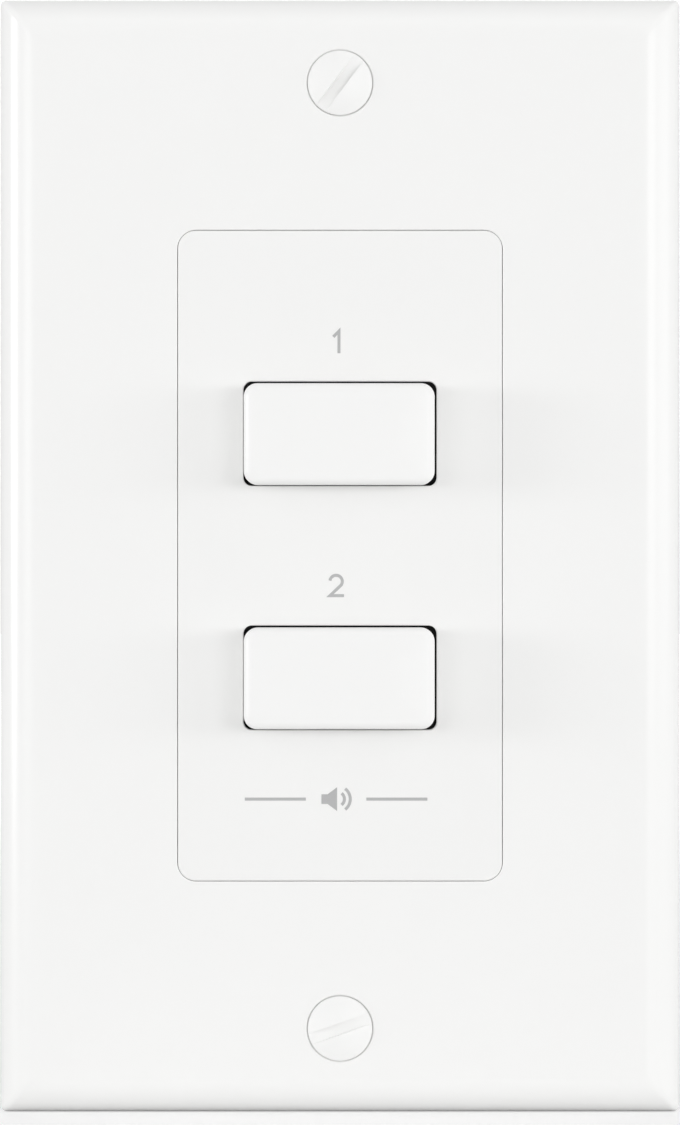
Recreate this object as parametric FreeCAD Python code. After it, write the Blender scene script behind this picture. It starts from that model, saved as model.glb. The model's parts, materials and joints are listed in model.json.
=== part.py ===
import FreeCAD, Part
import math
import os

# Two-button speaker selector for a single-gang wall box.
# Frame: +X right, +Y into the wall, +Z up. The wall's surface is y = 0, and the front faces -Y.
# Millimetres throughout.

# Wall plate
PLATE_WIDTH = 69.85
PLATE_HEIGHT = 114.3
PLATE_DEPTH = 5.8            # from the wall to the flat front
PLATE_WALL = 2.0             # front wall
PLATE_RIM = 1.5              # side walls
BORDER = 3.75                # width of the rounded border
BORDER_DEPTH = 3.0           # how far the rounded border falls back
CORNER_RADIUS = 0.6
HOLLOW_INSET = 1.0           # the border inside starts this much shallower
OPENING_WIDTH = 33.4
OPENING_HEIGHT = 66.8
OPENING_RADIUS = 1.95
EASED_EDGE = 0.1             # broken edge round the opening, the insert and the button apertures
COLLAR = 1.2                 # wall behind the opening's edge
COLLAR_GAP = 0.3             # between that wall and the strap
RIB = 1.0
RIB_HEIGHT = 1.2
SIDE_RIB_PITCH = 44.0

# Screws that hold the plate to the strap
PLATE_SCREW_PITCH = 96.84
PLATE_SCREW_R = 1.7
PLATE_SCREW_LENGTH = 12.7
PLATE_HEAD_R = 3.3
PLATE_HEAD_DOME = 0.85
HEAD_ANGLE = 82.0            # full angle of the countersink
HEAD_CLEARANCE = 0.12
PLATE_HOLE_R = 2.0
PLATE_BOSS_R = 2.9
SLOT_WIDTH = 1.2
SLOT_DEPTH = 1.0
SLOT_ANGLES = (53.0, 19.5)   # top screw, bottom screw

# Mounting strap
STRAP_THICKNESS = 1.2
STRAP_SETBACK = 0.1          # in front of the wall, so that the plate's rim seats first
STRAP_LENGTH = 106.0
STRAP_TAB_WIDTH = 24.0
STRAP_SIDE = 2.4             # frame beyond the insert's sides
STRAP_END = 0.7              # frame beyond the insert's ends
STRAP_CORNER = 1.5
EAR_R = 5.5                  # break-off plaster ear
EAR_HOLE_R = 1.6
EAR_OFFSET = 3.5             # ear's centre beyond the tab's side
SCORE_WIDTH = 0.5
SCORE_DEPTH = 0.5
THREAD_CLEARANCE = 0.08
EXTRUDED_R = 2.8             # drawn collar round a tapped hole
EXTRUDED_HEIGHT = 1.0

# Screws that hold the strap to the wall box
BOX_SCREW_PITCH = 83.34
BOX_SCREW_R = 1.75
BOX_NECK_R = 1.5
BOX_SCREW_REACH = 22.0       # behind the wall's surface
BOX_HEAD_R = 3.3
BOX_HEAD_HEIGHT = 2.0
BOX_SLOT_WIDTH = 6.5
BOX_SLOT_HEIGHT = 4.0
RETAINER_WIDTH = 10.0
RETAINER_HEIGHT = 7.2
RETAINER_THICKNESS = 0.8
RETAINER_RADIUS = 1.0
RETAINER_CLEARANCE = 0.15

# Front insert with its rear housing
INSERT_GAP = 0.1
BEZEL_RADIUS = 1.83
BEZEL_WALL = 2.0
SKIRT = 1.2
SHOULDER_SIDE = 2.1          # strap behind the insert's long sides
SHOULDER_END = 4.5           # and behind its ends
TUB_CLEARANCE = 0.25
TUB_WALL = 1.3
TUB_RADIUS = 1.5
WEB = 1.2
BOSS_SINK = 0.4              # how far a screw boss reaches into the wall beside it
BEZEL_SCREW_X = 11.0
BEZEL_BOSS_R = 2.2
BEZEL_SCREW_R = 1.0
BEZEL_HEAD_R = 1.6
BEZEL_HEAD_HEIGHT = 1.3
BEZEL_SCREW_DEPTH = 2.9

# Push buttons
BUTTON_PITCH = 25.0
BUTTON_WIDTH = 19.4
BUTTON_HEIGHT = 10.3
BUTTON_RADIUS = 1.7
BUTTON_EDGE = 0.9            # round on the pressed face
BUTTON_PROTRUSION = 5.2
BUTTON_WALL = 1.3
BUTTON_GAP = 0.2
APERTURE_RADIUS = 0.85
BUTTON_TRAVEL = 4.0
OVERTRAVEL = 1.0             # past the depth at which the button latches
FLANGE = 0.9
FLANGE_THICKNESS = 1.0
FLANGE_GAP = 0.2
SOCKET_WALL = 1.0
SOCKET_EXTRA = 1.2           # socket's length behind the flange
SOCKET_DEPTH = 5.6           # stem inside the socket
SOCKET_CLEARANCE = 0.08

# Push-push switch
CASE_WALL = 1.0
CASE_FLOOR = 1.4
CASE_RADIUS = 0.5
COVER_THICKNESS = 0.4
COVER_CLEARANCE = 0.4        # between a pressed button's socket and the cover
FLAP = 0.3
FLAP_WIDTH = 8.0
FLAP_LENGTH = 5.2
NUB = 0.25
NUB_WIDTH = 2.6
NUB_HEIGHT = 1.0
NUB_DEPTH = 2.6              # nub's start behind the cover
SLIDER_WIDTH = 13.0
SLIDER_HEIGHT = 5.6
SLIDER_PLAY = 0.06
SLIDER_RADIUS = 0.4
SLIDER_SPARE = 0.7           # left behind the slider at full travel
STEM = 4.0
STEM_CHAMFER = 0.5
RAIL_WIDTH = 1.6
END_RAIL_WIDTH = 3.0
LATCH_RAIL_WIDTH = 0.7
LATCH_RAIL_OFFSET = 2.3

# Heart-cam latch in the slider's end
TRACK_WIDTH = 0.9
TRACK_DEPTH = 0.85
TRACK_STEP = 0.12            # each leg is this much deeper than the one before
TRACK_REAR = 0.45            # slider left behind the track
TRACK_FRONT = 0.9            # slider left in front of it
LATCH_SWING = 1.6
LATCH_WIRE_R = 0.3
LATCH_TIP_REACH = 0.65
LATCH_GAP = 0.4              # between the slider's end and the wire
LATCH_PIVOT_INSET = 0.6      # pivot in front of the case's floor
LATCH_PIVOT_CLEARANCE = 0.08
LATCH_SPACE = 1.5            # between the slider's ends and the case
LEAF = 0.2
LEAF_WIDTH = 1.2
LEAF_GAP = 0.1

# Return spring
SPRING_WIRE = 0.4
SPRING_R = 1.7
SPRING_TURNS = 6
SPRING_STEPS = 8             # straight lengths in a turn
SPRING_SIDES = 6             # flats round the wire
SPRING_BORE_R = 2.2
SPRING_SEAT = 1.6            # slider left in front of the spring
SPRING_POST_R = 1.15
SPRING_POST_HEIGHT = 1.2
SPRING_END_GAP = 0.03

# Contacts: four poles, two on each long side
BLADE = 0.3
BLADE_WIDTH = 1.2
PIN_WIDTH = 0.8
PIN_REACH = 0.8              # behind the board
COMMON_X = 2.0
THROW_X = 4.4
BYPASS_X = 6.8
BLADE_START = 1.0            # behind the case's front edge
BLADE_BRIDGE = 1.0
THROW_GAP = 0.8              # between the two throws of a pole
THROW_LEAD = 0.7             # contact made this much before the latched depth
CLIP = 0.15
CLIP_WIDTH = 3.6
CLIP_BASE = 0.9
CLIP_LIP = 0.7
CLIP_START = 0.6             # behind the slider's front
BOW_WIDTH = 0.9
BOW_LENGTH = 3.6
BOW_HEIGHT = 0.5
SLOT_PLAY = 0.05
BOW_GAP = 0.05               # between a finger and the blade that it faces

# Circuit board
BOARD_THICKNESS = 1.6
BOARD_OVERHANG = 1.5         # beyond the housing's ends
BOARD_EDGE = 0.4             # beyond the terminals
BOARD_RADIUS = 1.0
BOARD_BOSS_R = 2.2
BOARD_SCREW_R = 1.0
BOARD_SCREW_GRIP = 8.0
BOARD_HEAD_R = 1.75
BOARD_HEAD_HEIGHT = 1.4
PILOT_CLEARANCE = 0.05
PILOT_SPARE = 0.6

# Screw terminals: one block in, two out, four poles each
POLE_COUNT = 4
POLE_PITCH = 5.08
BLOCK_END = 0.6
BLOCK_WIDTH = 8.2
BLOCK_HEIGHT = 10.0
BLOCK_STEP = 1.3
BLOCK_TOP_WIDTH = 5.0
BLOCK_FLOOR = 1.0
BLOCK_HEAD_GAP = 0.6         # between a block and the nearest screw head
CAGE_WIDTH = 3.4             # along the row
CAGE_LENGTH = 3.6            # along the wire
CAGE_HEIGHT = 4.4
CAGE_WALL = 0.6
CAGE_PLAY = 0.1
CLAMP_SCREW_R = 1.1
CLAMP_HEAD_R = 1.6
CLAMP_HEAD_HEIGHT = 1.7
CLAMP_SLOT = 0.6
CLAMP_WELL_R = 1.8
CLAMP_REACH = 1.6            # screw's point inside the cage
TERMINAL_PIN = (0.6, 1.0)
TERMINAL_PIN_REACH = 1.0     # in front of the board

# Stations along Y, from the front of the plate to the rear of the board
WALL_FACE = 0.0
PLATE_FRONT = WALL_FACE - PLATE_DEPTH
PLATE_INNER = PLATE_FRONT + PLATE_WALL
STRAP_BACK = WALL_FACE - STRAP_SETBACK
STRAP_FRONT = STRAP_BACK - STRAP_THICKNESS
BEZEL_INNER = PLATE_FRONT + BEZEL_WALL
BUTTON_FRONT = PLATE_FRONT - BUTTON_PROTRUSION
FLANGE_FRONT = BEZEL_INNER + FLANGE_GAP
FLANGE_BACK = FLANGE_FRONT + FLANGE_THICKNESS
SOCKET_BACK = FLANGE_BACK + SOCKET_EXTRA
COVER_FRONT = SOCKET_BACK + BUTTON_TRAVEL + COVER_CLEARANCE
CASE_FRONT = COVER_FRONT + COVER_THICKNESS
SLIDER_FRONT = CASE_FRONT + SLIDER_PLAY
SLIDER_BACK = SLIDER_FRONT + TRACK_FRONT + TRACK_WIDTH + BUTTON_TRAVEL + TRACK_REAR
CASE_INNER = SLIDER_BACK + BUTTON_TRAVEL + SLIDER_SPARE
BOARD_FRONT = CASE_INNER + CASE_FLOOR
BOARD_BACK = BOARD_FRONT + BOARD_THICKNESS

# Sizes that follow from the ones above
BEZEL_WIDTH = OPENING_WIDTH - 2 * INSERT_GAP
BEZEL_HEIGHT = OPENING_HEIGHT - 2 * INSERT_GAP
STRAP_OPENING_WIDTH = BEZEL_WIDTH - 2 * SHOULDER_SIDE
STRAP_OPENING_HEIGHT = BEZEL_HEIGHT - 2 * SHOULDER_END
TUB_WIDTH = STRAP_OPENING_WIDTH - 2 * TUB_CLEARANCE
TUB_HEIGHT = STRAP_OPENING_HEIGHT - 2 * TUB_CLEARANCE
TUB_INNER_WIDTH = TUB_WIDTH - 2 * TUB_WALL
TUB_INNER_HEIGHT = TUB_HEIGHT - 2 * TUB_WALL
BEZEL_SCREW_Z = BEZEL_HEIGHT / 2 - SKIRT - BEZEL_BOSS_R + BOSS_SINK
BOARD_SCREW_X = TUB_INNER_WIDTH / 2 - BOARD_BOSS_R + BOSS_SINK
BOARD_SCREW_Z = TUB_INNER_HEIGHT / 2 - BOARD_BOSS_R + BOSS_SINK
BLOCK_LENGTH = POLE_COUNT * POLE_PITCH + BLOCK_END
BLOCK_X = BOARD_SCREW_X + BOARD_HEAD_R + BLOCK_HEAD_GAP + BLOCK_WIDTH / 2
BOARD_WIDTH = 2 * (BLOCK_X + BLOCK_WIDTH / 2 + BOARD_EDGE)
BOARD_HEIGHT = TUB_HEIGHT + 2 * BOARD_OVERHANG
CASE_INNER_WIDTH = SLIDER_WIDTH + 2 * LATCH_SPACE
CASE_INNER_HEIGHT = SLIDER_HEIGHT + 2 * (BOW_HEIGHT + CLIP + BOW_GAP + BLADE)
CASE_WIDTH = CASE_INNER_WIDTH + 2 * CASE_WALL
CASE_HEIGHT = CASE_INNER_HEIGHT + 2 * CASE_WALL
STEM_TIP = SOCKET_BACK - SOCKET_DEPTH
SLIDER_END = SLIDER_WIDTH / 2
LATCHED_DEPTH = BUTTON_TRAVEL - OVERTRAVEL
TIP_REST = SLIDER_BACK - TRACK_REAR - TRACK_WIDTH / 2
LATCH_PIVOT = CASE_INNER - LATCH_PIVOT_INSET
LATCH_SHANK = LATCH_PIVOT - TIP_REST
LATCH_ANGLE = math.asin(LATCH_SWING / LATCH_SHANK)
LATCH_X = SLIDER_END + LATCH_GAP + LATCH_WIRE_R
CLIP_FRONT = SLIDER_FRONT + CLIP_START
DOME_REST = CLIP_FRONT + CLIP_BASE + BOW_LENGTH / 2
BLADE_FRONT = CASE_FRONT + BLADE_START
SECOND_THROW = DOME_REST + LATCHED_DEPTH - THROW_LEAD
FIRST_THROW_END = SECOND_THROW - THROW_GAP

SWITCHES = (("upper", BUTTON_PITCH / 2), ("lower", -BUTTON_PITCH / 2))
TERMINALS = (("input", -1, 0.0), ("output_1", 1, BUTTON_PITCH / 2), ("output_2", 1, -BUTTON_PITCH / 2))

X_AXIS = FreeCAD.Vector(1, 0, 0)
Y_AXIS = FreeCAD.Vector(0, 1, 0)
Z_AXIS = FreeCAD.Vector(0, 0, 1)


def point(x, y, z):
    return FreeCAD.Vector(x, y, z)


def block(x_pair, y_pair, z_pair):
    """Straight block between the lower and upper value of each pair, given in either order."""
    x0, x1 = sorted(x_pair)
    y0, y1 = sorted(y_pair)
    z0, z1 = sorted(z_pair)
    return Part.makeBox(x1 - x0, y1 - y0, z1 - z0, point(x0, y0, z0))


def prism(width, height, y0, y1, radius=0.0, x=0.0, z=0.0):
    """Block along Y round the line (x, z), with its four long edges rounded."""
    solid = block((x - width / 2, x + width / 2), (y0, y1), (z - height / 2, z + height / 2))
    if radius > 0:
        long_edges = [edge for edge in solid.Edges if abs(edge.tangentAt(edge.FirstParameter).y) > 0.99]
        solid = solid.makeFillet(radius, long_edges)
    return solid


def rod(radius, y0, y1, x=0.0, z=0.0):
    return Part.makeCylinder(radius, y1 - y0, point(x, y0, z), Y_AXIS)


def turned(outline, x=0.0, z=0.0):
    """Solid of revolution round the line (x, z) along Y, from (radius, y) points that close on that line."""
    corners = [point(radius, y, 0) for radius, y in outline]
    profile = Part.Face(Part.makePolygon(corners + corners[:1]))
    solid = profile.revolve(point(0, 0, 0), Y_AXIS, 360)
    solid.translate(point(x, 0, z))
    return solid


def join(solids):
    solids = list(solids)
    if len(solids) == 1:
        return solids[0]
    return solids[0].multiFuse(solids[1:]).removeSplitter()


def cut_all(solid, tools):
    return solid.cut(Part.makeCompound(list(tools)))


def front_edges(solid, y, width, height, z=0.0):
    """Edges that lie in the plane y, inside a frame of the given size round (0, z)."""
    margin = 0.01
    chosen = []
    for edge in solid.Edges:
        box = edge.BoundBox
        flat = abs(box.YMin - y) < margin and abs(box.YMax - y) < margin
        inside_x = max(abs(box.XMin), abs(box.XMax)) < width / 2 + margin
        inside_z = max(abs(box.ZMin - z), abs(box.ZMax - z)) < height / 2 + margin
        if flat and inside_x and inside_z:
            chosen.append(edge)
    return chosen


def corners_of(x, z):
    return [(side * x, end * z) for side in (-1, 1) for end in (-1, 1)]


def crowned_face(across, half, back, front, border, depth):
    """Cross-section with straight sides and a flat front, joined by arcs that leave the front smoothly."""
    def at(u, y):
        return across * u + Y_AXIS * y

    radius = (border ** 2 + depth ** 2) / (2 * depth)
    half_turn = math.asin(border / radius) / 2
    middle = half - border + radius * math.sin(half_turn)
    middle_y = front + radius * (1 - math.cos(half_turn))

    def shoulder(side):
        arc = Part.Arc(at(side * half, front + depth), at(side * middle, middle_y),
                       at(side * (half - border), front))
        return arc.toShape()

    flat = half - border
    edges = [
        Part.makeLine(at(-half, back), at(half, back)),
        Part.makeLine(at(half, back), at(half, front + depth)),
        shoulder(1),
        Part.makeLine(at(flat, front), at(-flat, front)),
        shoulder(-1),
        Part.makeLine(at(-half, front + depth), at(-half, back)),
    ]
    return Part.Face(Part.Wire(Part.__sortEdges__(edges)))


def crowned_block(width, height, front, border, depth, corner):
    """Block whose front border falls away along all four sides and meets in mitred corners."""
    upright = crowned_face(X_AXIS, width / 2, WALL_FACE, front, border, depth)
    upright.translate(Z_AXIS * (-height / 2))
    lying = crowned_face(Z_AXIS, height / 2, WALL_FACE, front, border, depth)
    lying.translate(X_AXIS * (-width / 2))
    solid = upright.extrude(Z_AXIS * height).common(lying.extrude(X_AXIS * width))
    if corner > 0:
        solid = solid.common(prism(width, height, front, WALL_FACE, corner))
    return solid


def head_cone_depth(radius):
    """Depth of the countersink from the given rim radius to the screw's shank."""
    return (radius - PLATE_SCREW_R) / math.tan(math.radians(HEAD_ANGLE / 2))


def wall_plate():
    outside = crowned_block(PLATE_WIDTH, PLATE_HEIGHT, PLATE_FRONT, BORDER, BORDER_DEPTH, CORNER_RADIUS)
    hollow = crowned_block(PLATE_WIDTH - 2 * PLATE_RIM, PLATE_HEIGHT - 2 * PLATE_RIM, PLATE_INNER,
                           BORDER - PLATE_RIM, BORDER_DEPTH - HOLLOW_INSET, 0.0)
    screw_z = PLATE_SCREW_PITCH / 2
    rib_back = PLATE_INNER + RIB_HEIGHT
    inside = [prism(OPENING_WIDTH + 2 * COLLAR, OPENING_HEIGHT + 2 * COLLAR, PLATE_INNER,
                    STRAP_FRONT - COLLAR_GAP, OPENING_RADIUS + COLLAR)]
    for end in (-1, 1):
        inside.append(rod(PLATE_BOSS_R, PLATE_INNER, STRAP_FRONT, z=end * screw_z))
        inside.append(block((-PLATE_WIDTH / 2, PLATE_WIDTH / 2), (PLATE_INNER, rib_back),
                            (end * screw_z - RIB / 2, end * screw_z + RIB / 2)))
        rib_z = end * SIDE_RIB_PITCH / 2
        inside.append(block((-PLATE_WIDTH / 2, PLATE_WIDTH / 2), (PLATE_INNER, rib_back),
                            (rib_z - RIB / 2, rib_z + RIB / 2)))
    stiffening = join(inside).common(hollow)
    cuts = [prism(OPENING_WIDTH, OPENING_HEIGHT, PLATE_FRONT, WALL_FACE, OPENING_RADIUS)]
    rim = PLATE_HEAD_R + HEAD_CLEARANCE
    for end in (-1, 1):
        cuts.append(rod(PLATE_HOLE_R, PLATE_FRONT, WALL_FACE, z=end * screw_z))
        cuts.append(turned([(0, PLATE_FRONT), (rim, PLATE_FRONT),
                            (PLATE_SCREW_R, PLATE_FRONT + head_cone_depth(rim)),
                            (0, PLATE_FRONT + head_cone_depth(rim))], z=end * screw_z))
    plate = cut_all(outside.cut(hollow).fuse(stiffening), cuts).removeSplitter()
    return plate.makeChamfer(EASED_EDGE, front_edges(plate, PLATE_FRONT, OPENING_WIDTH, OPENING_HEIGHT))


def plate_screw(z, slot_angle):
    """Oval-head screw with a straight slot across its dome."""
    rim = PLATE_FRONT
    neck = rim + head_cone_depth(PLATE_HEAD_R)
    tip = rim + PLATE_SCREW_LENGTH
    chamfer = PLATE_SCREW_R / 2
    top = rim - PLATE_HEAD_DOME
    dome_r = (PLATE_HEAD_R ** 2 + PLATE_HEAD_DOME ** 2) / (2 * PLATE_HEAD_DOME)
    half_angle = math.asin(PLATE_HEAD_R / dome_r) / 2
    crest = point(dome_r * math.sin(half_angle), top + dome_r * (1 - math.cos(half_angle)), 0)
    dome = Part.Arc(point(0, top, 0), crest, point(PLATE_HEAD_R, rim, 0)).toShape()
    rest = [point(PLATE_HEAD_R, rim, 0), point(PLATE_SCREW_R, neck, 0),
            point(PLATE_SCREW_R, tip - chamfer, 0), point(PLATE_SCREW_R - chamfer, tip, 0),
            point(0, tip, 0), point(0, top, 0)]
    outline = Part.Wire([dome] + Part.makePolygon(rest).Edges)
    screw = Part.Face(outline).revolve(point(0, 0, 0), Y_AXIS, 360)
    slot = block((-PLATE_HEAD_R, PLATE_HEAD_R), (top, top + SLOT_DEPTH), (-SLOT_WIDTH / 2, SLOT_WIDTH / 2))
    slot.rotate(point(0, 0, 0), Y_AXIS, -slot_angle)
    screw = screw.cut(slot)
    screw.translate(point(0, 0, z))
    return screw


def plate_screws():
    pair = zip((PLATE_SCREW_PITCH / 2, -PLATE_SCREW_PITCH / 2), SLOT_ANGLES)
    return [plate_screw(z, angle) for z, angle in pair]


def box_slot(z):
    """Oblong slot across the strap for a box screw."""
    end_r = BOX_SLOT_HEIGHT / 2
    reach = BOX_SLOT_WIDTH / 2 - end_r
    middle = block((-reach, reach), (STRAP_FRONT, STRAP_BACK), (z - end_r, z + end_r))
    ends = [rod(end_r, STRAP_FRONT, STRAP_BACK, x=side * reach, z=z) for side in (-1, 1)]
    return join([middle] + ends)


def mounting_strap():
    half_length = STRAP_LENGTH / 2
    tab_x = STRAP_TAB_WIDTH / 2
    ear_x = tab_x + EAR_OFFSET
    ear_z = half_length - EAR_R
    frame_height = BEZEL_HEIGHT + 2 * STRAP_END
    pieces = [
        prism(BEZEL_WIDTH + 2 * STRAP_SIDE, frame_height, STRAP_FRONT, STRAP_BACK, STRAP_CORNER),
        prism(STRAP_TAB_WIDTH, STRAP_LENGTH, STRAP_FRONT, STRAP_BACK, STRAP_CORNER),
    ]
    pieces += [rod(EAR_R, STRAP_FRONT, STRAP_BACK, x=x, z=z) for x, z in corners_of(ear_x, ear_z)]
    screw_z = PLATE_SCREW_PITCH / 2
    pieces += [rod(EXTRUDED_R, STRAP_FRONT, STRAP_BACK + EXTRUDED_HEIGHT, z=end * screw_z) for end in (-1, 1)]
    thread_r = PLATE_SCREW_R + THREAD_CLEARANCE
    cuts = [prism(STRAP_OPENING_WIDTH, STRAP_OPENING_HEIGHT, STRAP_FRONT, STRAP_BACK, STRAP_CORNER)]
    for end in (-1, 1):
        cuts.append(box_slot(end * BOX_SCREW_PITCH / 2))
        cuts.append(rod(thread_r, STRAP_FRONT, STRAP_BACK + EXTRUDED_HEIGHT, z=end * screw_z))
    for x, z in corners_of(BEZEL_SCREW_X, BEZEL_SCREW_Z):
        cuts.append(rod(BEZEL_SCREW_R + 2 * THREAD_CLEARANCE, STRAP_FRONT, STRAP_BACK, x=x, z=z))
    for x, z in corners_of(ear_x, ear_z):
        cuts.append(rod(EAR_HOLE_R, STRAP_FRONT, STRAP_BACK, x=x, z=z))
        score_x = math.copysign(tab_x, x)
        cuts.append(block((score_x - SCORE_WIDTH / 2, score_x + SCORE_WIDTH / 2),
                          (STRAP_FRONT, STRAP_FRONT + SCORE_DEPTH), (z - EAR_R, z + EAR_R)))
    return [cut_all(join(pieces), cuts).removeSplitter()]


def box_screws():
    head_top = STRAP_FRONT - BOX_HEAD_HEIGHT
    thread = STRAP_BACK + RETAINER_THICKNESS + RETAINER_CLEARANCE
    chamfer = BOX_SCREW_R / 2
    outline = [(0, head_top), (BOX_HEAD_R - chamfer, head_top), (BOX_HEAD_R, head_top + chamfer),
               (BOX_HEAD_R, STRAP_FRONT), (BOX_NECK_R, STRAP_FRONT), (BOX_NECK_R, thread),
               (BOX_SCREW_R, thread), (BOX_SCREW_R, BOX_SCREW_REACH - chamfer),
               (BOX_SCREW_R - chamfer, BOX_SCREW_REACH), (0, BOX_SCREW_REACH)]
    return [turned(outline, z=end * BOX_SCREW_PITCH / 2) for end in (1, -1)]


def screw_retainers():
    """Fibre squares that keep the box screws in the strap."""
    retainer_back = STRAP_BACK + RETAINER_THICKNESS
    squares = []
    for end in (1, -1):
        z = end * BOX_SCREW_PITCH / 2
        square = prism(RETAINER_WIDTH, RETAINER_HEIGHT, STRAP_BACK, retainer_back, RETAINER_RADIUS, z=z)
        hole = rod(BOX_NECK_R + RETAINER_CLEARANCE, STRAP_BACK, retainer_back, z=z)
        squares.append(square.cut(hole))
    return squares


def aperture(z):
    return prism(BUTTON_WIDTH + 2 * BUTTON_GAP, BUTTON_HEIGHT + 2 * BUTTON_GAP, PLATE_FRONT, BEZEL_INNER,
                 APERTURE_RADIUS, z=z)


def bezel():
    """Front insert whose rear housing passes through the strap and carries the board."""
    front = prism(BEZEL_WIDTH, BEZEL_HEIGHT, PLATE_FRONT, STRAP_FRONT, BEZEL_RADIUS)
    front = front.makeChamfer(EASED_EDGE, front_edges(front, PLATE_FRONT, BEZEL_WIDTH, BEZEL_HEIGHT))
    hollow = prism(BEZEL_WIDTH - 2 * SKIRT, BEZEL_HEIGHT - 2 * SKIRT, BEZEL_INNER, STRAP_FRONT,
                   BEZEL_RADIUS - SKIRT)
    tub = prism(TUB_WIDTH, TUB_HEIGHT, BEZEL_INNER, BOARD_FRONT, TUB_RADIUS)
    inside = prism(TUB_INNER_WIDTH, TUB_INNER_HEIGHT, BEZEL_INNER, BOARD_FRONT, TUB_RADIUS - TUB_WALL)
    added = [block((-TUB_WIDTH / 2, TUB_WIDTH / 2), (BEZEL_INNER, BOARD_FRONT), (-WEB / 2, WEB / 2))]
    added += [rod(BEZEL_BOSS_R, BEZEL_INNER, STRAP_FRONT, x=x, z=z)
              for x, z in corners_of(BEZEL_SCREW_X, BEZEL_SCREW_Z)]
    added += [rod(BOARD_BOSS_R, BEZEL_INNER, BOARD_FRONT, x=x, z=z)
              for x, z in corners_of(BOARD_SCREW_X, BOARD_SCREW_Z)]
    body = join([front.cut(hollow), tub.cut(inside)] + added)
    cuts = [aperture(z) for _, z in SWITCHES]
    pilot = BEZEL_SCREW_R + PILOT_CLEARANCE
    cuts += [rod(pilot, STRAP_FRONT - BEZEL_SCREW_DEPTH, STRAP_FRONT, x=x, z=z)
             for x, z in corners_of(BEZEL_SCREW_X, BEZEL_SCREW_Z)]
    pilot = BOARD_SCREW_R + PILOT_CLEARANCE
    cuts += [rod(pilot, BOARD_FRONT - BOARD_SCREW_GRIP - PILOT_SPARE, BOARD_FRONT, x=x, z=z)
             for x, z in corners_of(BOARD_SCREW_X, BOARD_SCREW_Z)]
    body = cut_all(body, cuts)
    for _, z in SWITCHES:
        rim = front_edges(body, PLATE_FRONT, BUTTON_WIDTH + 2 * BUTTON_GAP, BUTTON_HEIGHT + 2 * BUTTON_GAP, z)
        body = body.makeChamfer(EASED_EDGE, rim)
    return [body]


def pan_screw(head_r, shank_r, head_back, seat, tip, x, z):
    """Round-headed screw that points towards the front: its head lies between seat and head_back."""
    outline = [(0, head_back), (head_r, head_back), (head_r, seat), (shank_r, seat), (shank_r, tip), (0, tip)]
    return turned(outline, x, z)


def bezel_screws():
    tip = STRAP_FRONT - BEZEL_SCREW_DEPTH + PILOT_SPARE
    return [pan_screw(BEZEL_HEAD_R, BEZEL_SCREW_R, STRAP_BACK + BEZEL_HEAD_HEIGHT, STRAP_BACK, tip, x, z)
            for x, z in corners_of(BEZEL_SCREW_X, BEZEL_SCREW_Z)]


def board_screws():
    return [pan_screw(BOARD_HEAD_R, BOARD_SCREW_R, BOARD_BACK + BOARD_HEAD_HEIGHT, BOARD_BACK,
                      BOARD_FRONT - BOARD_SCREW_GRIP, x, z)
            for x, z in corners_of(BOARD_SCREW_X, BOARD_SCREW_Z)]


def blade_height():
    """Middle of a contact blade's thickness, from the switch's centre line."""
    return CASE_INNER_HEIGHT / 2 - BLADE / 2


def pin_places():
    """Where the twelve contact pins of a switch leave it, from its centre line."""
    rows = (-blade_height(), blade_height())
    return [(side * x, z) for side in (-1, 1) for x in (COMMON_X, THROW_X, BYPASS_X) for z in rows]


def pole_heights(z_mid):
    first = z_mid - POLE_PITCH * (POLE_COUNT - 1) / 2
    return [first + POLE_PITCH * index for index in range(POLE_COUNT)]


def circuit_board():
    board = prism(BOARD_WIDTH, BOARD_HEIGHT, BOARD_FRONT, BOARD_BACK, BOARD_RADIUS)
    cuts = [rod(BOARD_SCREW_R + 2 * PILOT_CLEARANCE, BOARD_FRONT, BOARD_BACK, x=x, z=z)
            for x, z in corners_of(BOARD_SCREW_X, BOARD_SCREW_Z)]
    for _, switch_z in SWITCHES:
        cuts += [prism(PIN_WIDTH + 2 * SLOT_PLAY, BLADE + 2 * SLOT_PLAY, BOARD_FRONT, BOARD_BACK,
                       x=x, z=switch_z + z) for x, z in pin_places()]
    for _, side, z_mid in TERMINALS:
        cuts += [prism(TERMINAL_PIN[0] + 2 * SLOT_PLAY, TERMINAL_PIN[1] + 2 * SLOT_PLAY, BOARD_FRONT,
                       BOARD_BACK, x=side * BLOCK_X, z=z) for z in pole_heights(z_mid)]
    return [cut_all(board, cuts)]


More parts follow.
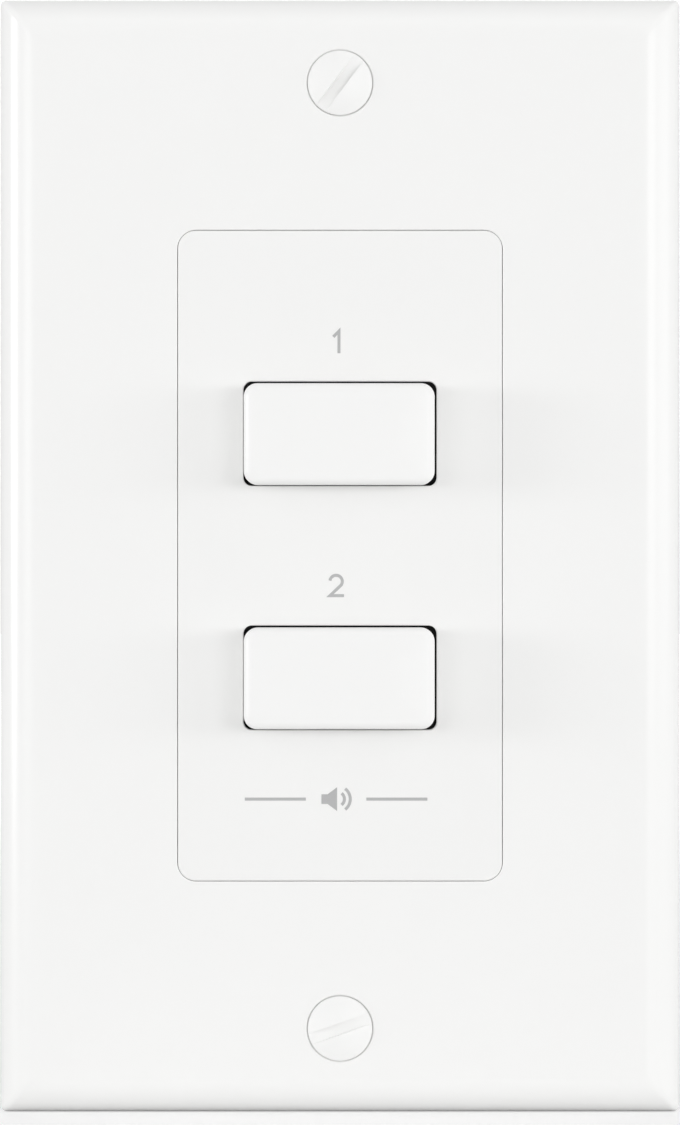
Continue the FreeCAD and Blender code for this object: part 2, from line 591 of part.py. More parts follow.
def terminal_body(side, z_mid):
    """Moulded housing: wires enter from the side, the clamp screws are reached from the rear."""
    base = BOARD_BACK
    top = base + BLOCK_HEIGHT
    half = BLOCK_WIDTH / 2
    top_half = BLOCK_TOP_WIDTH / 2
    z0 = z_mid - BLOCK_LENGTH / 2
    outline = [(-half, base), (half, base), (half, top - 2 * BLOCK_STEP), (top_half, top - BLOCK_STEP),
               (top_half, top), (-top_half, top), (-half, top - BLOCK_STEP)]
    corners = [point(side * u, y, z0) for u, y in outline]
    body = Part.Face(Part.makePolygon(corners + corners[:1])).extrude(Z_AXIS * BLOCK_LENGTH)
    body.translate(X_AXIS * side * BLOCK_X)
    floor = base + BLOCK_FLOOR
    ceiling = floor + CAGE_HEIGHT + 2 * CAGE_PLAY
    pocket_z = CAGE_WIDTH / 2 + CAGE_PLAY
    inner_x = side * (BLOCK_X - CAGE_LENGTH / 2 - CAGE_PLAY)
    outer_x = side * (BLOCK_X + half)
    cuts = []
    for z in pole_heights(z_mid):
        cuts.append(block((inner_x, outer_x), (floor, ceiling), (z - pocket_z, z + pocket_z)))
        cuts.append(rod(CLAMP_WELL_R, ceiling, top, x=side * BLOCK_X, z=z))
        cuts.append(prism(TERMINAL_PIN[0] + 2 * SLOT_PLAY, TERMINAL_PIN[1] + 2 * SLOT_PLAY, base, floor,
                          x=side * BLOCK_X, z=z))
    return [cut_all(body, cuts)]


def terminal_cages(side, z_mid):
    """Square clamp tubes, open along the wire and tapped on top."""
    low = BOARD_BACK + BLOCK_FLOOR
    high = low + CAGE_HEIGHT
    x_pair = (side * BLOCK_X - CAGE_LENGTH / 2, side * BLOCK_X + CAGE_LENGTH / 2)
    cages = []
    for z in pole_heights(z_mid):
        cage = block(x_pair, (low, high), (z - CAGE_WIDTH / 2, z + CAGE_WIDTH / 2))
        inner = CAGE_WIDTH / 2 - CAGE_WALL
        bore = block(x_pair, (low + CAGE_WALL, high - CAGE_WALL), (z - inner, z + inner))
        tapped = rod(CLAMP_SCREW_R + PILOT_CLEARANCE, high - CAGE_WALL, high, x=side * BLOCK_X, z=z)
        cages.append(cage.cut(bore).cut(tapped))
    return cages


def terminal_screws(side, z_mid):
    seat = BOARD_BACK + BLOCK_FLOOR + CAGE_HEIGHT + 2 * CAGE_PLAY + CLAMP_HEAD_HEIGHT / 2
    tip = BOARD_BACK + BLOCK_FLOOR + CAGE_HEIGHT - CAGE_WALL - CLAMP_REACH
    top = seat + CLAMP_HEAD_HEIGHT
    screws = []
    for z in pole_heights(z_mid):
        outline = [(0, top), (CLAMP_HEAD_R, top), (CLAMP_HEAD_R, seat), (CLAMP_SCREW_R, seat),
                   (CLAMP_SCREW_R, tip), (0, tip)]
        screw = turned(outline, side * BLOCK_X, z)
        slot = block((side * BLOCK_X - CLAMP_HEAD_R, side * BLOCK_X + CLAMP_HEAD_R),
                     (top - CLAMP_HEAD_HEIGHT / 2, top), (z - CLAMP_SLOT / 2, z + CLAMP_SLOT / 2))
        screws.append(screw.cut(slot))
    return screws


def terminal_pins(side, z_mid):
    return [prism(TERMINAL_PIN[0], TERMINAL_PIN[1], BOARD_FRONT - TERMINAL_PIN_REACH,
                  BOARD_BACK + BLOCK_FLOOR, x=side * BLOCK_X, z=z) for z in pole_heights(z_mid)]


def button(z):
    """Hollow cap with a retaining flange behind the insert and a square socket for the slider's stem."""
    cap = prism(BUTTON_WIDTH, BUTTON_HEIGHT, BUTTON_FRONT, FLANGE_BACK, BUTTON_RADIUS, z=z)
    cap = cap.makeFillet(BUTTON_EDGE, front_edges(cap, BUTTON_FRONT, BUTTON_WIDTH, BUTTON_HEIGHT, z))
    flange = prism(BUTTON_WIDTH + 2 * FLANGE, BUTTON_HEIGHT + 2 * FLANGE, FLANGE_FRONT, FLANGE_BACK,
                   BUTTON_RADIUS, z=z)
    inner = BUTTON_FRONT + BUTTON_WALL
    hollow = prism(BUTTON_WIDTH - 2 * BUTTON_WALL, BUTTON_HEIGHT - 2 * BUTTON_WALL, inner, FLANGE_BACK,
                   BUTTON_RADIUS - BUTTON_WALL, z=z)
    shell = cap.fuse(flange).cut(hollow)
    outer = STEM + 2 * (SOCKET_CLEARANCE + SOCKET_WALL)
    socket = prism(outer, outer, inner, SOCKET_BACK, z=z)
    ribs = block((-BUTTON_WIDTH / 2, BUTTON_WIDTH / 2), (inner, FLANGE_FRONT), (z - RIB / 2, z + RIB / 2))
    spine = block((-RIB / 2, RIB / 2), (inner, FLANGE_FRONT), (z - BUTTON_HEIGHT / 2, z + BUTTON_HEIGHT / 2))
    hole = STEM + 2 * SOCKET_CLEARANCE
    bore = prism(hole, hole, STEM_TIP - SOCKET_CLEARANCE, SOCKET_BACK, z=z)
    return [join([shell, socket, ribs.fuse(spine).common(cap)]).cut(bore)]


def switch_case(z):
    """Moulded case, open to the front, with guide rails, contact slots and the latch wire's pivot."""
    outer = prism(CASE_WIDTH, CASE_HEIGHT, CASE_FRONT, BOARD_FRONT, CASE_RADIUS, z=z)
    inner = prism(CASE_INNER_WIDTH, CASE_INNER_HEIGHT, CASE_FRONT, CASE_INNER, z=z)
    half_x = CASE_INNER_WIDTH / 2
    half_z = CASE_INNER_HEIGHT / 2
    slide_x = SLIDER_END + SLIDER_PLAY
    slide_z = SLIDER_HEIGHT / 2 + SLIDER_PLAY
    length = (CASE_FRONT, CASE_INNER)
    rails = [block((-half_x, -slide_x), length, (z - END_RAIL_WIDTH / 2, z + END_RAIL_WIDTH / 2))]
    for end in (-1, 1):
        rails.append(block((-RAIL_WIDTH / 2, RAIL_WIDTH / 2), length, (z + end * slide_z, z + end * half_z)))
        start = z + end * LATCH_RAIL_OFFSET
        rails.append(block((slide_x, half_x), length, (start, start + end * LATCH_RAIL_WIDTH)))
        nub_z = z + end * CASE_HEIGHT / 2
        nub_y = CASE_FRONT + NUB_DEPTH
        wedge = [point(-NUB_WIDTH / 2, nub_y, nub_z), point(-NUB_WIDTH / 2, nub_y + NUB_HEIGHT, nub_z),
                 point(-NUB_WIDTH / 2, nub_y + NUB_HEIGHT, nub_z + end * NUB)]
        rails.append(Part.Face(Part.makePolygon(wedge + wedge[:1])).extrude(X_AXIS * NUB_WIDTH))
    post = rod(SPRING_POST_R, CASE_INNER - SPRING_POST_HEIGHT, CASE_INNER, z=z)
    body = join([outer.cut(inner), post] + rails)
    slots = [prism(PIN_WIDTH + 2 * SLOT_PLAY, BLADE + 2 * SLOT_PLAY, CASE_INNER, BOARD_FRONT,
                   x=x, z=z + pin_z) for x, pin_z in pin_places()]
    pivot = Part.makeCylinder(LATCH_WIRE_R + LATCH_PIVOT_CLEARANCE, CASE_WALL, point(half_x, LATCH_PIVOT, z),
                              X_AXIS)
    return [cut_all(body, slots + [pivot])]


def switch_cover(z):
    """Sheet-metal cover with two snap flaps and a leaf that holds the latch wire in its track."""
    plate = prism(CASE_WIDTH, CASE_HEIGHT, COVER_FRONT, CASE_FRONT, CASE_RADIUS, z=z)
    pieces = [plate]
    cuts = []
    for end in (-1, 1):
        side = z + end * CASE_HEIGHT / 2
        pieces.append(block((-FLAP_WIDTH / 2, FLAP_WIDTH / 2), (COVER_FRONT, CASE_FRONT + FLAP_LENGTH),
                            (side, side + end * FLAP)))
        window_x = NUB_WIDTH / 2 + SLOT_PLAY * 2
        cuts.append(block((-window_x, window_x), (CASE_FRONT + NUB_DEPTH - SLOT_PLAY * 2,
                          CASE_FRONT + NUB_DEPTH + NUB_HEIGHT + SLOT_PLAY * 2), (side, side + end * FLAP)))
    leaf_x = LATCH_X + LATCH_WIRE_R + LEAF_GAP
    pieces.append(block((leaf_x, leaf_x + LEAF), (COVER_FRONT, TIP_REST + LATCH_SHANK / 3),
                        (z - LEAF_WIDTH / 2, z + LEAF_WIDTH / 2)))
    hole = STEM + 4 * SOCKET_CLEARANCE
    cuts.append(prism(hole, hole, COVER_FRONT, CASE_FRONT, z=z))
    cuts.append(block((leaf_x - LEAF_WIDTH, leaf_x), (COVER_FRONT, CASE_FRONT),
                      (z - LEAF_WIDTH / 2, z + LEAF_WIDTH / 2)))
    return [cut_all(join(pieces), cuts)]


def track_leg(start, end, depth):
    """One straight leg of the cam track, with round ends, sunk from the slider's +X end."""
    along = (end - start).normalize()
    side = point(0, -along.z, along.y) * (TRACK_WIDTH / 2)
    corners = [start + side, end + side, end - side, start - side]
    leg = Part.Face(Part.makePolygon(corners + corners[:1])).extrude(X_AXIS * -depth)
    ends = [Part.makeCylinder(TRACK_WIDTH / 2, depth, place, X_AXIS * -1) for place in (start, end)]
    return join([leg] + ends)


def heart_track(z):
    """Closed heart-shaped track: in past one lobe, back to the notch, past the other lobe and out."""
    lobe_y = LATCH_PIVOT - LATCH_SHANK * math.cos(LATCH_ANGLE) - BUTTON_TRAVEL
    rest = point(SLIDER_END, TIP_REST, z)
    lobe_in = point(SLIDER_END, lobe_y, z - LATCH_SWING)
    notch = point(SLIDER_END, TIP_REST - LATCHED_DEPTH, z)
    lobe_out = point(SLIDER_END, lobe_y, z + LATCH_SWING)
    stations = [rest, lobe_in, notch, lobe_out, rest]
    legs = []
    for index in range(4):
        legs.append(track_leg(stations[index], stations[index + 1], TRACK_DEPTH + index * TRACK_STEP))
    return join(legs)


def plunger(z):
    """Slider with its stem, spring bore, contact seats and the heart-cam track of the latch."""
    slider = prism(SLIDER_WIDTH, SLIDER_HEIGHT, SLIDER_FRONT, SLIDER_BACK, SLIDER_RADIUS, z=z)
    stem = prism(STEM, STEM, STEM_TIP, SLIDER_FRONT, z=z)
    tip_edges = [edge for edge in stem.Edges if edge.BoundBox.YMax < STEM_TIP + 0.01]
    stem = stem.makeChamfer(STEM_CHAMFER, tip_edges)
    cuts = [heart_track(z), rod(SPRING_BORE_R, SLIDER_FRONT + SPRING_SEAT, SLIDER_BACK, z=z)]
    for side in (-1, 1):
        for end in (-1, 1):
            slit_z = z + end * SLIDER_HEIGHT / 2
            cuts.append(block((side * (COMMON_X + THROW_X - CLIP_WIDTH) / 2,
                               side * (COMMON_X + THROW_X + CLIP_WIDTH) / 2),
                              (CLIP_FRONT - SLOT_PLAY, CLIP_FRONT + CLIP + SLOT_PLAY),
                              (slit_z, slit_z - end * (CLIP_LIP + SLOT_PLAY))))
    return [cut_all(slider.fuse(stem), cuts)]


def bent_wire(stations, section):
    """Wire of the given section through the stations, mitred where it turns."""
    right_corners = 1
    return Part.makePolygon(stations).makePipeShell([section], True, False, right_corners)


def return_spring(z):
    """Helical spring between the slider's bore and the case's floor, bent in short straight lengths."""
    start = SLIDER_FRONT + SPRING_SEAT + SPRING_END_GAP + SPRING_WIRE / 2
    end = CASE_INNER - SPRING_END_GAP - SPRING_WIRE / 2
    count = SPRING_TURNS * SPRING_STEPS
    stations = []
    for index in range(count + 1):
        turn = 2 * math.pi * index / SPRING_STEPS
        y = start + (end - start) * index / count
        stations.append(point(SPRING_R * math.cos(turn), y, z + SPRING_R * math.sin(turn)))
    along = (stations[1] - stations[0]).normalize()
    across = along.cross(Y_AXIS).normalize() * (SPRING_WIRE / 2)
    corners = []
    for index in range(SPRING_SIDES):
        corner = FreeCAD.Rotation(along, 360.0 * index / SPRING_SIDES).multVec(across)
        corners.append(stations[0] + corner)
    return [bent_wire(stations, Part.makePolygon(corners + corners[:1]))]


def latch_pin(z):
    """Bent wire: pivot leg in the case's end wall, shank along the slider, tip leg in the track."""
    pivot_end = CASE_INNER_WIDTH / 2 + CASE_WALL * 0.8
    tip_end = SLIDER_END - LATCH_TIP_REACH
    stations = [point(pivot_end, LATCH_PIVOT, z), point(LATCH_X, LATCH_PIVOT, z),
                point(LATCH_X, TIP_REST, z), point(tip_end, TIP_REST, z)]
    section = Part.Wire(Part.makeCircle(LATCH_WIRE_R, stations[0], stations[1] - stations[0]))
    return [bent_wire(stations, section)]


def contact_clip(z, side, end):
    """Spring clip: a base hooked into the slider and two bowed fingers, one for each blade."""
    face = z + end * SLIDER_HEIGHT / 2
    middle = side * (COMMON_X + THROW_X) / 2
    base_back = CLIP_FRONT + CLIP_BASE
    x_pair = (middle - CLIP_WIDTH / 2 + SLOT_PLAY, middle + CLIP_WIDTH / 2 - SLOT_PLAY)
    pieces = [
        block(x_pair, (CLIP_FRONT, base_back), (face, face + end * CLIP)),
        block(x_pair, (CLIP_FRONT, CLIP_FRONT + CLIP), (face, face - end * CLIP_LIP)),
    ]
    for centre in (side * COMMON_X, side * THROW_X):
        x = centre - BOW_WIDTH / 2
        places = ((base_back - CLIP, 0.0), (DOME_REST, BOW_HEIGHT), (base_back + BOW_LENGTH, 0.0))
        under = [point(x, y, face + end * height) for y, height in places]
        over = [place + Z_AXIS * end * CLIP for place in under]
        edges = [Part.Arc(*under).toShape(), Part.makeLine(under[2], over[2]), Part.Arc(*over).toShape(),
                 Part.makeLine(over[0], under[0])]
        bow = Part.Face(Part.Wire(Part.__sortEdges__(edges)))
        pieces.append(bow.extrude(X_AXIS * BOW_WIDTH))
    return join(pieces)


def moving_contacts(z):
    return [contact_clip(z, side, end) for side in (-1, 1) for end in (-1, 1)]


def switch_terminals(z):
    """Twelve flat blades along the case's long walls; each pole has a common and two throws."""
    tip = BOARD_BACK + PIN_REACH
    blades = []
    for side in (-1, 1):
        for end in (-1, 1):
            z_pair = (z + end * (CASE_INNER_HEIGHT / 2 - BLADE), z + end * CASE_INNER_HEIGHT / 2)

            def strip(x_low, x_high, y_low, y_high, side=side, z_pair=z_pair):
                return block((side * x_low, side * x_high), (y_low, y_high), z_pair)

            def straight(x, front, strip=strip):
                blade = strip(x - BLADE_WIDTH / 2, x + BLADE_WIDTH / 2, front, CASE_INNER)
                return join([blade, strip(x - PIN_WIDTH / 2, x + PIN_WIDTH / 2, CASE_INNER, tip)])

            blades.append(straight(COMMON_X, BLADE_FRONT))
            blades.append(straight(THROW_X, SECOND_THROW))
            pad = strip(THROW_X - BLADE_WIDTH / 2, THROW_X + BLADE_WIDTH / 2, BLADE_FRONT, FIRST_THROW_END)
            bridge = strip(THROW_X - BLADE_WIDTH / 2, BYPASS_X + PIN_WIDTH / 2, BLADE_FRONT,
                           BLADE_FRONT + BLADE_BRIDGE)
            leg = strip(BYPASS_X - PIN_WIDTH / 2, BYPASS_X + PIN_WIDTH / 2, BLADE_FRONT, tip)
            blades.append(join([pad, bridge, leg]))
    return blades


def sub_parts():
    """Every node's name with the list of its solids."""
    parts = {
        "wall_plate": [wall_plate()],
        "plate_screws": plate_screws(),
        "mounting_strap": mounting_strap(),
        "box_screws": box_screws(),
        "screw_retainers": screw_retainers(),
        "bezel": bezel(),
        "bezel_screws": bezel_screws(),
        "circuit_board": circuit_board(),
        "board_screws": board_screws(),
    }
    for name, side, z in TERMINALS:
        parts[name + "_terminal_body"] = terminal_body(side, z)
        parts[name + "_terminal_cages"] = terminal_cages(side, z)
        parts[name + "_terminal_screws"] = terminal_screws(side, z)
        parts[name + "_terminal_pins"] = terminal_pins(side, z)
    for name, z in SWITCHES:
        parts["button_" + name] = button(z)
        parts[name + "_switch_case"] = switch_case(z)
        parts[name + "_switch_cover"] = switch_cover(z)
        parts[name + "_plunger"] = plunger(z)
        parts[name + "_return_spring"] = return_spring(z)
        parts[name + "_latch_pin"] = latch_pin(z)
        parts[name + "_moving_contacts"] = moving_contacts(z)
        parts[name + "_switch_terminals"] = switch_terminals(z)
    return parts


def write_parts():
    os.makedirs("parts", exist_ok=True)
    for name, solids in sub_parts().items():
        flat = [solid for shape in solids for solid in shape.Solids]
        shape = flat[0] if len(flat) == 1 else Part.makeCompound(flat)
        shape.exportStep("parts/" + name + ".step")
        print(name, len(flat), "solids,", round(sum(solid.Volume for solid in flat), 2), "mm3")


write_parts()
print("slider travel", BUTTON_TRAVEL, "latch turn", round(math.degrees(LATCH_ANGLE), 3), "degrees")
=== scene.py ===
"""Finished surfaces of a two-button speaker selector for a single-gang wall box.

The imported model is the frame: +X right, +Y into the wall, +Z up, and the front faces -Y.
Shapes are worked out in millimetres as grids of points and scaled to metres when a mesh is made.
"""

import json
import math
from types import SimpleNamespace

import bmesh
import bpy
import numpy as np
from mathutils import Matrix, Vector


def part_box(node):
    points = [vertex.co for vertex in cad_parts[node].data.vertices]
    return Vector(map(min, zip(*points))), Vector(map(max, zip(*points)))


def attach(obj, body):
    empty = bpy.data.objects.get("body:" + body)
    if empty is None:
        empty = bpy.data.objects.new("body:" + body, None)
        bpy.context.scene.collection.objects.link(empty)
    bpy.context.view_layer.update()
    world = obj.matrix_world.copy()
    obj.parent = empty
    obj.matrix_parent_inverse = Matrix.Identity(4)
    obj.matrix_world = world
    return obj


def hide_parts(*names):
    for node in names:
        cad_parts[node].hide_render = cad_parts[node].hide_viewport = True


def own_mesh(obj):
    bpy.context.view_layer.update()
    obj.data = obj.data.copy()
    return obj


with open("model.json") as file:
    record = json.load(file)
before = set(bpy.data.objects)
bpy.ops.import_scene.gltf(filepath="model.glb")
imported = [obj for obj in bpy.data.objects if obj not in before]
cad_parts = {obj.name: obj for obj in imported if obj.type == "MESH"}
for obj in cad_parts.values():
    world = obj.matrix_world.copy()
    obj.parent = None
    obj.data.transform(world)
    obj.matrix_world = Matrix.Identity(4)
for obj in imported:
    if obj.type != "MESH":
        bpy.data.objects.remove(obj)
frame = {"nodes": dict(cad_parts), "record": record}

bl_info = {
    "name": "Speaker selector finish",
    "version": (1, 0, 0),
    "blender": (4, 5, 0),
    "location": "View3D > Sidebar > Selector",
    "description": "Builds the moulded, turned and printed surfaces of a wall speaker selector",
    "category": "Object",
}

MM = 0.001
WELD = 1e-7                      # metres; points nearer than this are one
CREASE = math.radians(32)        # edges sharper than this stay sharp
ARC_STEPS = 10                   # quads round a quarter turn
TURN_STEPS = 64                  # quads round a full turn
PAST = 1.0                       # millimetres that a cutting shape reaches past what it cuts
RELIEF = 0.02 * MM               # height of a finish's grain, streaks or weave

SWITCHES = ("upper", "lower")
TERMINALS = ("input", "output_1", "output_2")
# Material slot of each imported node
NODE_SLOTS = {part["node"]: part["material_slot"] for part in frame["record"]["subparts"]}


def extent(node):
    """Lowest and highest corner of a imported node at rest, in millimetres."""
    low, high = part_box(node)
    return np.array(low) / MM, np.array(high) / MM


PLATE_LOW, PLATE_HIGH = extent("wall_plate")
PLATE_FRONT = PLATE_LOW[1]
STRAP_FRONT = extent("mounting_strap")[0][1]
RETAINER_BACK = extent("screw_retainers")[1][1]
BOARD_FRONT, BOARD_BACK = (corner[1] for corner in extent("circuit_board"))
BUTTON_Z = {side: sum(corner[2] for corner in extent("button_" + side)) / 2 for side in SWITCHES}


# ---------------------------------------------------------------- settings

def length(name, description, millimetres, lowest=0.0):
    """A size, given in millimetres and kept in metres."""
    return bpy.props.FloatProperty(name=name, description=description, default=millimetres * MM,
                                   min=lowest * MM, precision=5, subtype="DISTANCE", unit="LENGTH")


def angle(name, description, degrees):
    """An angle, given in degrees and kept in radians."""
    return bpy.props.FloatProperty(name=name, description=description, default=math.radians(degrees),
                                   subtype="ANGLE", unit="ROTATION")


def share(name, description, value):
    """A part of a whole, from 0 to 1."""
    return bpy.props.FloatProperty(name=name, description=description, default=value,
                                   min=0.0, max=1.0, subtype="FACTOR")


def number(name, description, value):
    """A plain number."""
    return bpy.props.FloatProperty(name=name, description=description, default=value, min=0.0)


def colour(name, description, value):
    """A linear colour."""
    return bpy.props.FloatVectorProperty(name=name, description=description, default=value, size=3,
                                         min=0.0, max=1.0, subtype="COLOR")


class PlateSettings(bpy.types.PropertyGroup):
    """Sizes of the moulded wall plate"""

    wall: length("Front wall", "Thickness of the plate's front", 2.0)
    rim: length("Rim", "Thickness of the plate's sides at the wall", 1.5)
    border: length("Border", "Width of the rounded border", 3.75)
    border_depth: length("Border depth", "How far the border falls back", 3.0)
    hollow_inset: length("Hollow inset", "The border inside starts this much shallower", 1.0)
    corner: length("Corner radius", "Radius of the plate's four corners", 0.6)
    opening_width: length("Opening width", "Width of the opening for the insert", 33.33)
    opening_height: length("Opening height", "Height of the opening for the insert", 66.72)
    opening_radius: length("Opening radius", "Corner radius of the opening", 1.95)
    eased_edge: length("Eased edge", "Round on the opening's front edge", 0.1)
    collar: length("Collar", "Wall behind the opening's edge", 1.2)
    collar_gap: length("Collar gap", "Space between the collar and the strap", 0.3)
    boss: length("Boss radius", "Radius of the two screw bosses", 2.9)
    rib: length("Rib", "Thickness of the stiffening ribs", 1.0)
    rib_height: length("Rib height", "Height of the stiffening ribs", 1.2)
    side_rib_pitch: length("Side rib pitch", "Distance between the two ribs beside the opening", 44.0)


class ButtonSettings(bpy.types.PropertyGroup):
    """Sizes of the push buttons and of their return springs"""

    wall: length("Wall", "Thickness of the button's shell", 1.3)
    corner: length("Corner radius", "Radius of the button's four corners", 1.35)
    edge: length("Edge", "Round between the face and the sides", 0.9)
    crown: length("Crown", "How far the face rises towards its middle", 0.06)
    flange: length("Flange", "Width of the flange behind the insert", 0.9)
    flange_thickness: length("Flange thickness", "Thickness of that flange", 1.0)
    carrier: length("Carrier", "How much of the carrier shows in front of the flange", 1.3)
    stem: length("Stem", "Width of the square stem in the socket", 4.0)
    socket_wall: length("Socket wall", "Wall of the socket", 1.0)
    socket_clearance: length("Socket clearance", "Gap between the stem and its socket", 0.08)
    socket_extra: length("Socket end", "Socket's length behind the flange", 1.2)
    socket_depth: length("Socket depth", "Stem inside the socket", 5.6)
    rib: length("Rib", "Thickness of the ribs inside", 1.0)
    lean: length("Lean", "How far both caps sit to the left in their apertures", 0.08)
    upper_sag: length("Upper sag", "How far the upper cap sits low in its aperture", 0.12)
    lower_sag: length("Lower sag", "How far the lower cap sits low in its aperture", 0.0)
    spring_wire: length("Spring wire", "Radius of the return spring's wire", 0.2)
    spring_turns: number("Spring turns", "Turns of the return spring", 7.0)
    spring_closed: number("Closed turns", "Turns over which each end of the spring opens", 1.2)


class ScrewSettings(bpy.types.PropertyGroup):
    """Sizes of the plate, box, insert and board screws"""

    plate_pitch: length("Plate screw spacing", "Distance between the plate's two screws", 96.84)
    plate_head: length("Plate screw head", "Radius of the oval head", 3.3)
    dome: length("Dome", "Height of the oval head above the plate", 0.85)
    head_angle: angle("Countersink", "Full angle of the countersink", 82.0)
    head_gap: length("Head gap", "Gap round the head in its countersink", 0.12)
    shank: length("Plate screw radius", "Radius over the plate screws' threads", 1.7)
    plate_length: length("Plate screw length", "From the plate's front to the screw's tip", 12.7)
    slot_width: length("Slot width", "Width of the slot in the oval head", 1.2)
    slot_depth: length("Slot depth", "Depth of the slot in the oval head", 0.8)
    top_angle: angle("Top slot", "How far the top screw's slot is turned", 53.0)
    bottom_angle: angle("Bottom slot", "How far the bottom screw's slot is turned", 19.5)
    pitch: length("Machine thread", "Pitch of the plate and box screws", 0.794)
    thread_depth: length("Thread depth", "Depth of the plate screws' threads", 0.3)
    box_shank: length("Box screw radius", "Radius over the box screws' threads", 1.75)
    box_neck: length("Box screw neck", "Radius of the box screws between head and thread", 1.5)
    box_dome: length("Box screw dome", "Radius of the sphere that the box screws' heads are part of", 7.0)
    box_slot_width: length("Box slot width", "Width of the slot in the box screws", 1.0)
    box_slot_depth: length("Box slot depth", "Depth of the slot in the box screws", 1.1)
    box_thread_depth: length("Box thread depth", "Depth of the box screws' threads", 0.25)
    small_head: length("Small head", "Height of the heads of the insert's screws", 1.3)
    small_pitch: length("Tapping thread", "Pitch of the small tapping screws", 0.8)
    small_depth: length("Tapping depth", "Depth of the tapping threads", 0.22)


class LegendSettings(bpy.types.PropertyGroup):
    """Sizes of the printed legends"""

    height: length("Numeral height", "Height of the numerals and of the loudspeaker sign", 2.44)
    left: length("Left shift", "How far the legends stand left of the middle", 0.4)
    above: length("Above the button", "From a button's centre to its numeral's centre", 9.45)
    below: length("Below the button", "From the lower button's centre to the sign's centre", 12.43)
    width: length("Sign width", "Width of the sign with its two rules", 18.7)
    rule_gap: length("Rule gap", "From the sign's centre to the inner end of a rule", 3.1)
    stroke: length("Stroke", "Width of the printed lines", 0.35)
    film: length("Ink film", "Thickness of the ink", 0.02)


class BoardSettings(bpy.types.PropertyGroup):
    """Sizes of what is soldered and printed on the circuit board"""

    copper: length("Copper", "Height of the tracks under the mask", 0.05)
    track: length("Track width", "Width of the speaker tracks", 1.3)
    pad: length("Pad radius", "Radius of the pads on the switch pins", 0.72)
    big_pad: length("Large pad radius", "Radius of the pads on the terminal pins", 1.15)
    fillet: length("Solder height", "Height of the solder fillets", 0.75)
    print_width: length("Print width", "Width of the printed outlines", 0.22)
    print_margin: length("Print margin", "From a terminal block to its printed outline", 0.35)


class FinishSettings(bpy.types.PropertyGroup):
    """Colours of the visible mouldings and of the ink"""

    plate: colour("Plate", "Colour of the moulded plate", (0.93, 0.93, 0.922))
    insert: colour("Insert", "Colour of the moulded insert", (0.917, 0.917, 0.909))
    button: colour("Button", "Colour of the buttons", (0.935, 0.935, 0.928))
    # The carrier's near-black colour is painted shade: it stands in for the shade in the gap round each
    # button and inside the cap.
    carrier: colour("Carrier", "Colour of the buttons' inner carrier", (0.012, 0.012, 0.013))
    ink: colour("Ink", "Colour of the ink", (0.47, 0.47, 0.475))
    grain: share("Grain", "Strength of the mould's grain on the insert", 0.12)


class StageSettings(bpy.types.PropertyGroup):
    """Camera, floor and lights"""

    distance: length("Camera distance", "From the plate's front to the camera", 600.0)
    rise: length("Camera height", "Height of the camera above the plate's centre", -0.7, lowest=-100.0)
    pixels_per_mm: number("Scale", "Pixels for a millimetre in the plane of the plate's front", 9.765)
    floor: colour("Floor", "Colour of the floor", (0.9, 0.9, 0.9))
    ambient: number("Ambient light", "Strength of the surrounding light from the front", 0.54)
    rear_share: share("Rear share", "Part of that strength from the sides, above, below and behind", 0.65)
    horizon: number("Horizon", "Strength of the surroundings that gloss reflects near the floor", 0.45)
    glow: number("Floor glow", "What lifts the floor to white before the camera", 0.215)
    side_fill: number("Side fill", "Strength of the surrounding light from both sides", 0.5)
    front_right: number("Front right light", "Power of the softbox to the right of the camera, in watts", 5.6)
    front_left: number("Front left light", "Power of the softbox to the left of the camera, in watts", 3.6)
    right: number("Right light", "Power of the softbox to the right, in watts", 8.6)
    left: number("Left light", "Power of the softbox to the left, in watts", 7.8)
    rear: number("Rear light", "Power of the softbox behind the wall, in watts", 8.0)


def setting_names(group):
    """Names of the properties that a settings group adds."""
    return [key for key in group.bl_rna.properties.keys() if key not in ("rna_type", "name")]


def in_mm(group):
    """The lengths of a settings group in millimetres, and its other values as they are."""
    values = SimpleNamespace()
    for key in setting_names(group):
        is_length = group.bl_rna.properties[key].unit == "LENGTH"
        setattr(values, key, getattr(group, key) / MM if is_length else getattr(group, key))
    return values


# ---------------------------------------------------------------- shapes

def quads(rows, columns, wrap_rows=False, wrap_columns=True):
    """Faces of a grid: each joins a point, the next along its row and the same two in the next row."""
    row = np.arange(rows if wrap_rows else rows - 1)[:, None]
    column = np.arange(columns if wrap_columns else columns - 1)[None, :]
    next_row = (row + 1) % rows
    next_column = (column + 1) % columns
    corners = (row * columns + column, row * columns + next_column,
               next_row * columns + next_column, next_row * columns + column)
    return np.stack(np.broadcast_arrays(*corners), axis=-1).reshape(-1, 4)


def sheet(points, wrap_rows=False, wrap_columns=True):
    """A grid of points (rows, columns, 3) with its faces."""
    return points.reshape(-1, 3), quads(points.shape[0], points.shape[1], wrap_rows, wrap_columns)


def rounded_rectangle(half_x, half_z, radius):
    """Row i runs round the rectangle of half sizes half_x[i] and half_z[i].

    Each corner is a quarter circle of radius[i] round a centre that far in from both sides.
    """
    half_x, half_z, radius = (np.asarray(v, float)[:, None] for v in (half_x, half_z, radius))
    corner = np.repeat(np.arange(4), ARC_STEPS + 1)
    turn = np.tile(np.linspace(0.0, 1.0, ARC_STEPS + 1), 4)
    direction = (corner + turn) * math.pi / 2
    side = np.array([1, -1, -1, 1])[corner]
    end = np.array([1, 1, -1, -1])[corner]
    x = side * (half_x - radius) + radius * np.cos(direction)
    z = end * (half_z - radius) + radius * np.sin(direction)
    return x, z


def nested_loops(half_x, half_z, radius, y, x=0.0, z=0.0):
    """Grid of rounded rectangles of changing size, row i in the plane y[i], round the line (x, z)."""
    along_x, along_z = rounded_rectangle(half_x, half_z, radius)
    depth = np.broadcast_to(np.asarray(y, float)[:, None], along_x.shape)
    return np.stack((x + along_x, depth, z + along_z), axis=-1)


